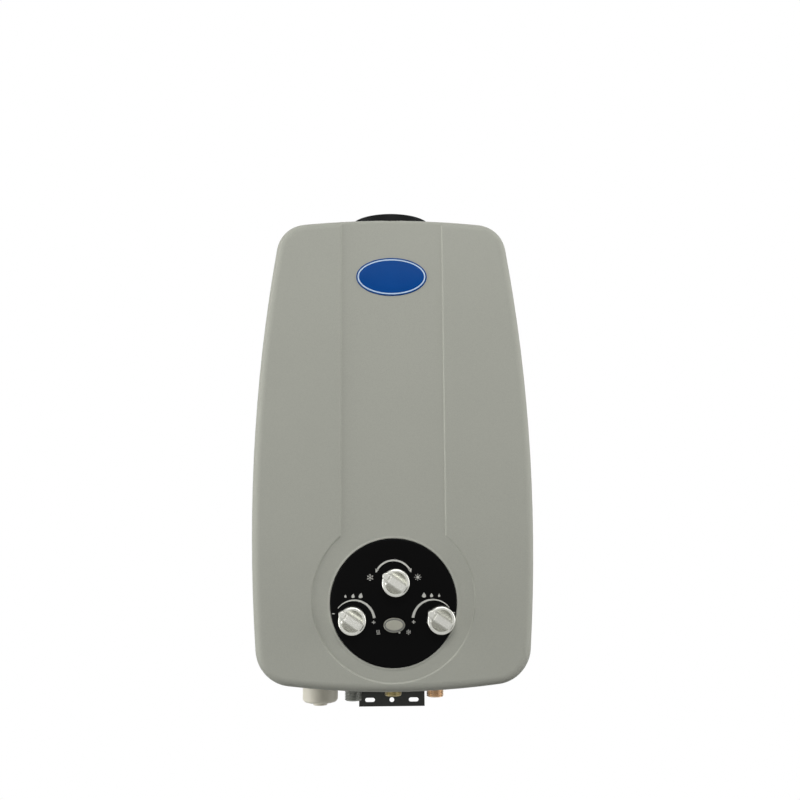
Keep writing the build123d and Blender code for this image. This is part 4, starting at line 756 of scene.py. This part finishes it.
def place_camera():
    yaw = math.radians(CAMERA_YAW)
    pitch = math.radians(CAMERA_PITCH)
    roll = math.radians(CAMERA_ROLL)
    level = Vector((math.sin(yaw), math.cos(yaw), 0.0))
    right = Vector((math.cos(yaw), -math.sin(yaw), 0.0))
    rise = Vector((0.0, 0.0, 1.0))
    ahead = level * math.cos(pitch) + rise * math.sin(pitch)
    over = rise * math.cos(pitch) - level * math.sin(pitch)
    across = right * math.cos(roll) + over * math.sin(roll)
    upward = over * math.cos(roll) - right * math.sin(roll)
    data = bpy.data.cameras.new("camera")
    data.sensor_width = SENSOR_MM
    data.lens = FOCAL_PIXELS / FRAME_PIXELS * SENSOR_MM
    data.clip_start = CAMERA_NEAR
    data.clip_end = CAMERA_FAR
    camera = bpy.data.objects.new("camera", data)
    bpy.context.scene.collection.objects.link(camera)
    turn = Matrix((across, upward, -ahead)).transposed().to_4x4()
    camera.matrix_world = Matrix.Translation(Vector(CAMERA_PLACE)) @ turn
    bpy.context.scene.camera = camera


def seen_directly(tree):
    """1 for rays from the camera, a mirror or glass, so that those see white."""
    path = tree.nodes.new("ShaderNodeLightPath")
    factor = path.outputs["Is Camera Ray"]
    for name in ("Is Glossy Ray", "Is Transmission Ray"):
        either = tree.nodes.new("ShaderNodeMath")
        either.operation = "MAXIMUM"
        tree.links.new(factor, either.inputs[0])
        tree.links.new(path.outputs[name], either.inputs[1])
        factor = either.outputs[0]
    return factor


def show_where_seen(tree, usual, seen, output):
    """The output gets the second shader where it is seen directly, and the usual one elsewhere."""
    mixer = tree.nodes.new("ShaderNodeMixShader")
    tree.links.new(seen_directly(tree), mixer.inputs[0])
    tree.links.new(usual.outputs[0], mixer.inputs[1])
    tree.links.new(seen.outputs[0], mixer.inputs[2])
    tree.links.new(mixer.outputs[0], tree.nodes[output].inputs["Surface"])


SKY_COLOUR = (1.0, 1.0, 0.985, 1.0)
SKY_STRENGTH = 0.16
GROUND_STRENGTH = 0.03
GROUND_RISE = -0.1
SKY_RISE = 0.4


def light_world():
    """Soft sky that fades toward the ground, by how far a direction rises."""
    world = bpy.data.worlds.new("studio")
    bpy.context.scene.world = world
    world.use_nodes = True
    tree = world.node_tree
    direction = tree.nodes.new("ShaderNodeTexCoord")
    split = tree.nodes.new("ShaderNodeSeparateXYZ")
    tree.links.new(direction.outputs["Generated"], split.inputs["Vector"])
    level = tree.nodes.new("ShaderNodeMapRange")
    level.inputs["From Min"].default_value = GROUND_RISE
    level.inputs["From Max"].default_value = SKY_RISE
    level.inputs["To Min"].default_value = GROUND_STRENGTH
    level.inputs["To Max"].default_value = SKY_STRENGTH
    tree.links.new(split.outputs["Z"], level.inputs["Value"])
    soft = tree.nodes["Background"]
    soft.inputs["Color"].default_value = SKY_COLOUR
    tree.links.new(level.outputs["Result"], soft.inputs["Strength"])
    white = tree.nodes.new("ShaderNodeBackground")
    white.inputs["Color"].default_value = WHITE
    white.inputs["Strength"].default_value = 1.0
    show_where_seen(tree, soft, white, "World Output")


# Metres and watts
LAMPS = {
    "key": dict(place=(0.2, -2.1, 1.2), target=(0.0, -0.15, -0.2), size=(1.6, 1.2), power=41.0),
    "fill": dict(place=(-0.9, -1.8, -0.45), target=(0.0, -0.15, -0.45), size=(1.4, 0.5), power=2.5),
    "left": dict(place=(-1.9, -0.42, -0.1), target=(0.0, -0.1, -0.2), size=(0.5, 2.8), power=34.0),
    "right": dict(place=(1.9, -0.35, 0.0), target=(0.0, -0.1, -0.2), size=(1.4, 1.6), power=22.0),
    "back": dict(place=(0.4, 2.4, 0.8), target=(0.0, 0.0, -0.2), size=(3.0, 3.0), power=24.0),
}


def area_light(name, place, target, size, power):
    data = bpy.data.lights.new(name, "AREA")
    data.shape = "RECTANGLE"
    data.size, data.size_y = size
    data.energy = power
    lamp = bpy.data.objects.new(name, data)
    bpy.context.scene.collection.objects.link(lamp)
    aim = (Vector(target) - Vector(place)).to_track_quat("-Z", "Y")
    lamp.matrix_world = Matrix.Translation(Vector(place)) @ aim.to_matrix().to_4x4()


FLOOR_Z = -1.9
FLOOR_R = 3.0
FLOOR_STEPS = 96
FLOOR_ROUGH = 0.7
FLOOR_SPECULAR = 0.2
FLOOR_CLOUD = 3.0
FLOOR_DARK = (0.29, 0.29, 0.285, 1.0)
FLOOR_LIGHT = (0.32, 0.32, 0.315, 1.0)
FLOOR_GLOW = 0.74


def lay_floor():
    """Pale floor as far down as below a heater on a wall. It looks near white and keeps the shadow."""
    maker = bmesh.new()
    bmesh.ops.create_circle(maker, cap_ends=True, segments=FLOOR_STEPS, radius=FLOOR_R)
    bmesh.ops.translate(maker, verts=maker.verts, vec=(0.0, 0.0, FLOOR_Z))
    surface = Surface("floor_pale").set(Roughness=FLOOR_ROUGH, Specular_IOR_Level=FLOOR_SPECULAR)
    surface.colour(surface.ramp(surface.noise(FLOOR_CLOUD, detail=3.0), FLOOR_DARK, FLOOR_LIGHT))
    glow = surface.node("ShaderNodeEmission", Color=WHITE, Strength=FLOOR_GLOW)
    bright = surface.node("ShaderNodeAddShader")
    surface.link(surface.shader.outputs[0], bright.inputs[0])
    surface.link(glow.outputs[0], bright.inputs[1])
    show_where_seen(surface.tree, surface.shader, bright, "Material Output")
    floor = mesh_object("floor", maker)
    floor.data.materials.append(surface.material)


place_camera()
light_world()
for name, lamp in LAMPS.items():
    area_light(name, **lamp)
lay_floor()

bpy.context.scene.view_settings.view_transform = "Standard"
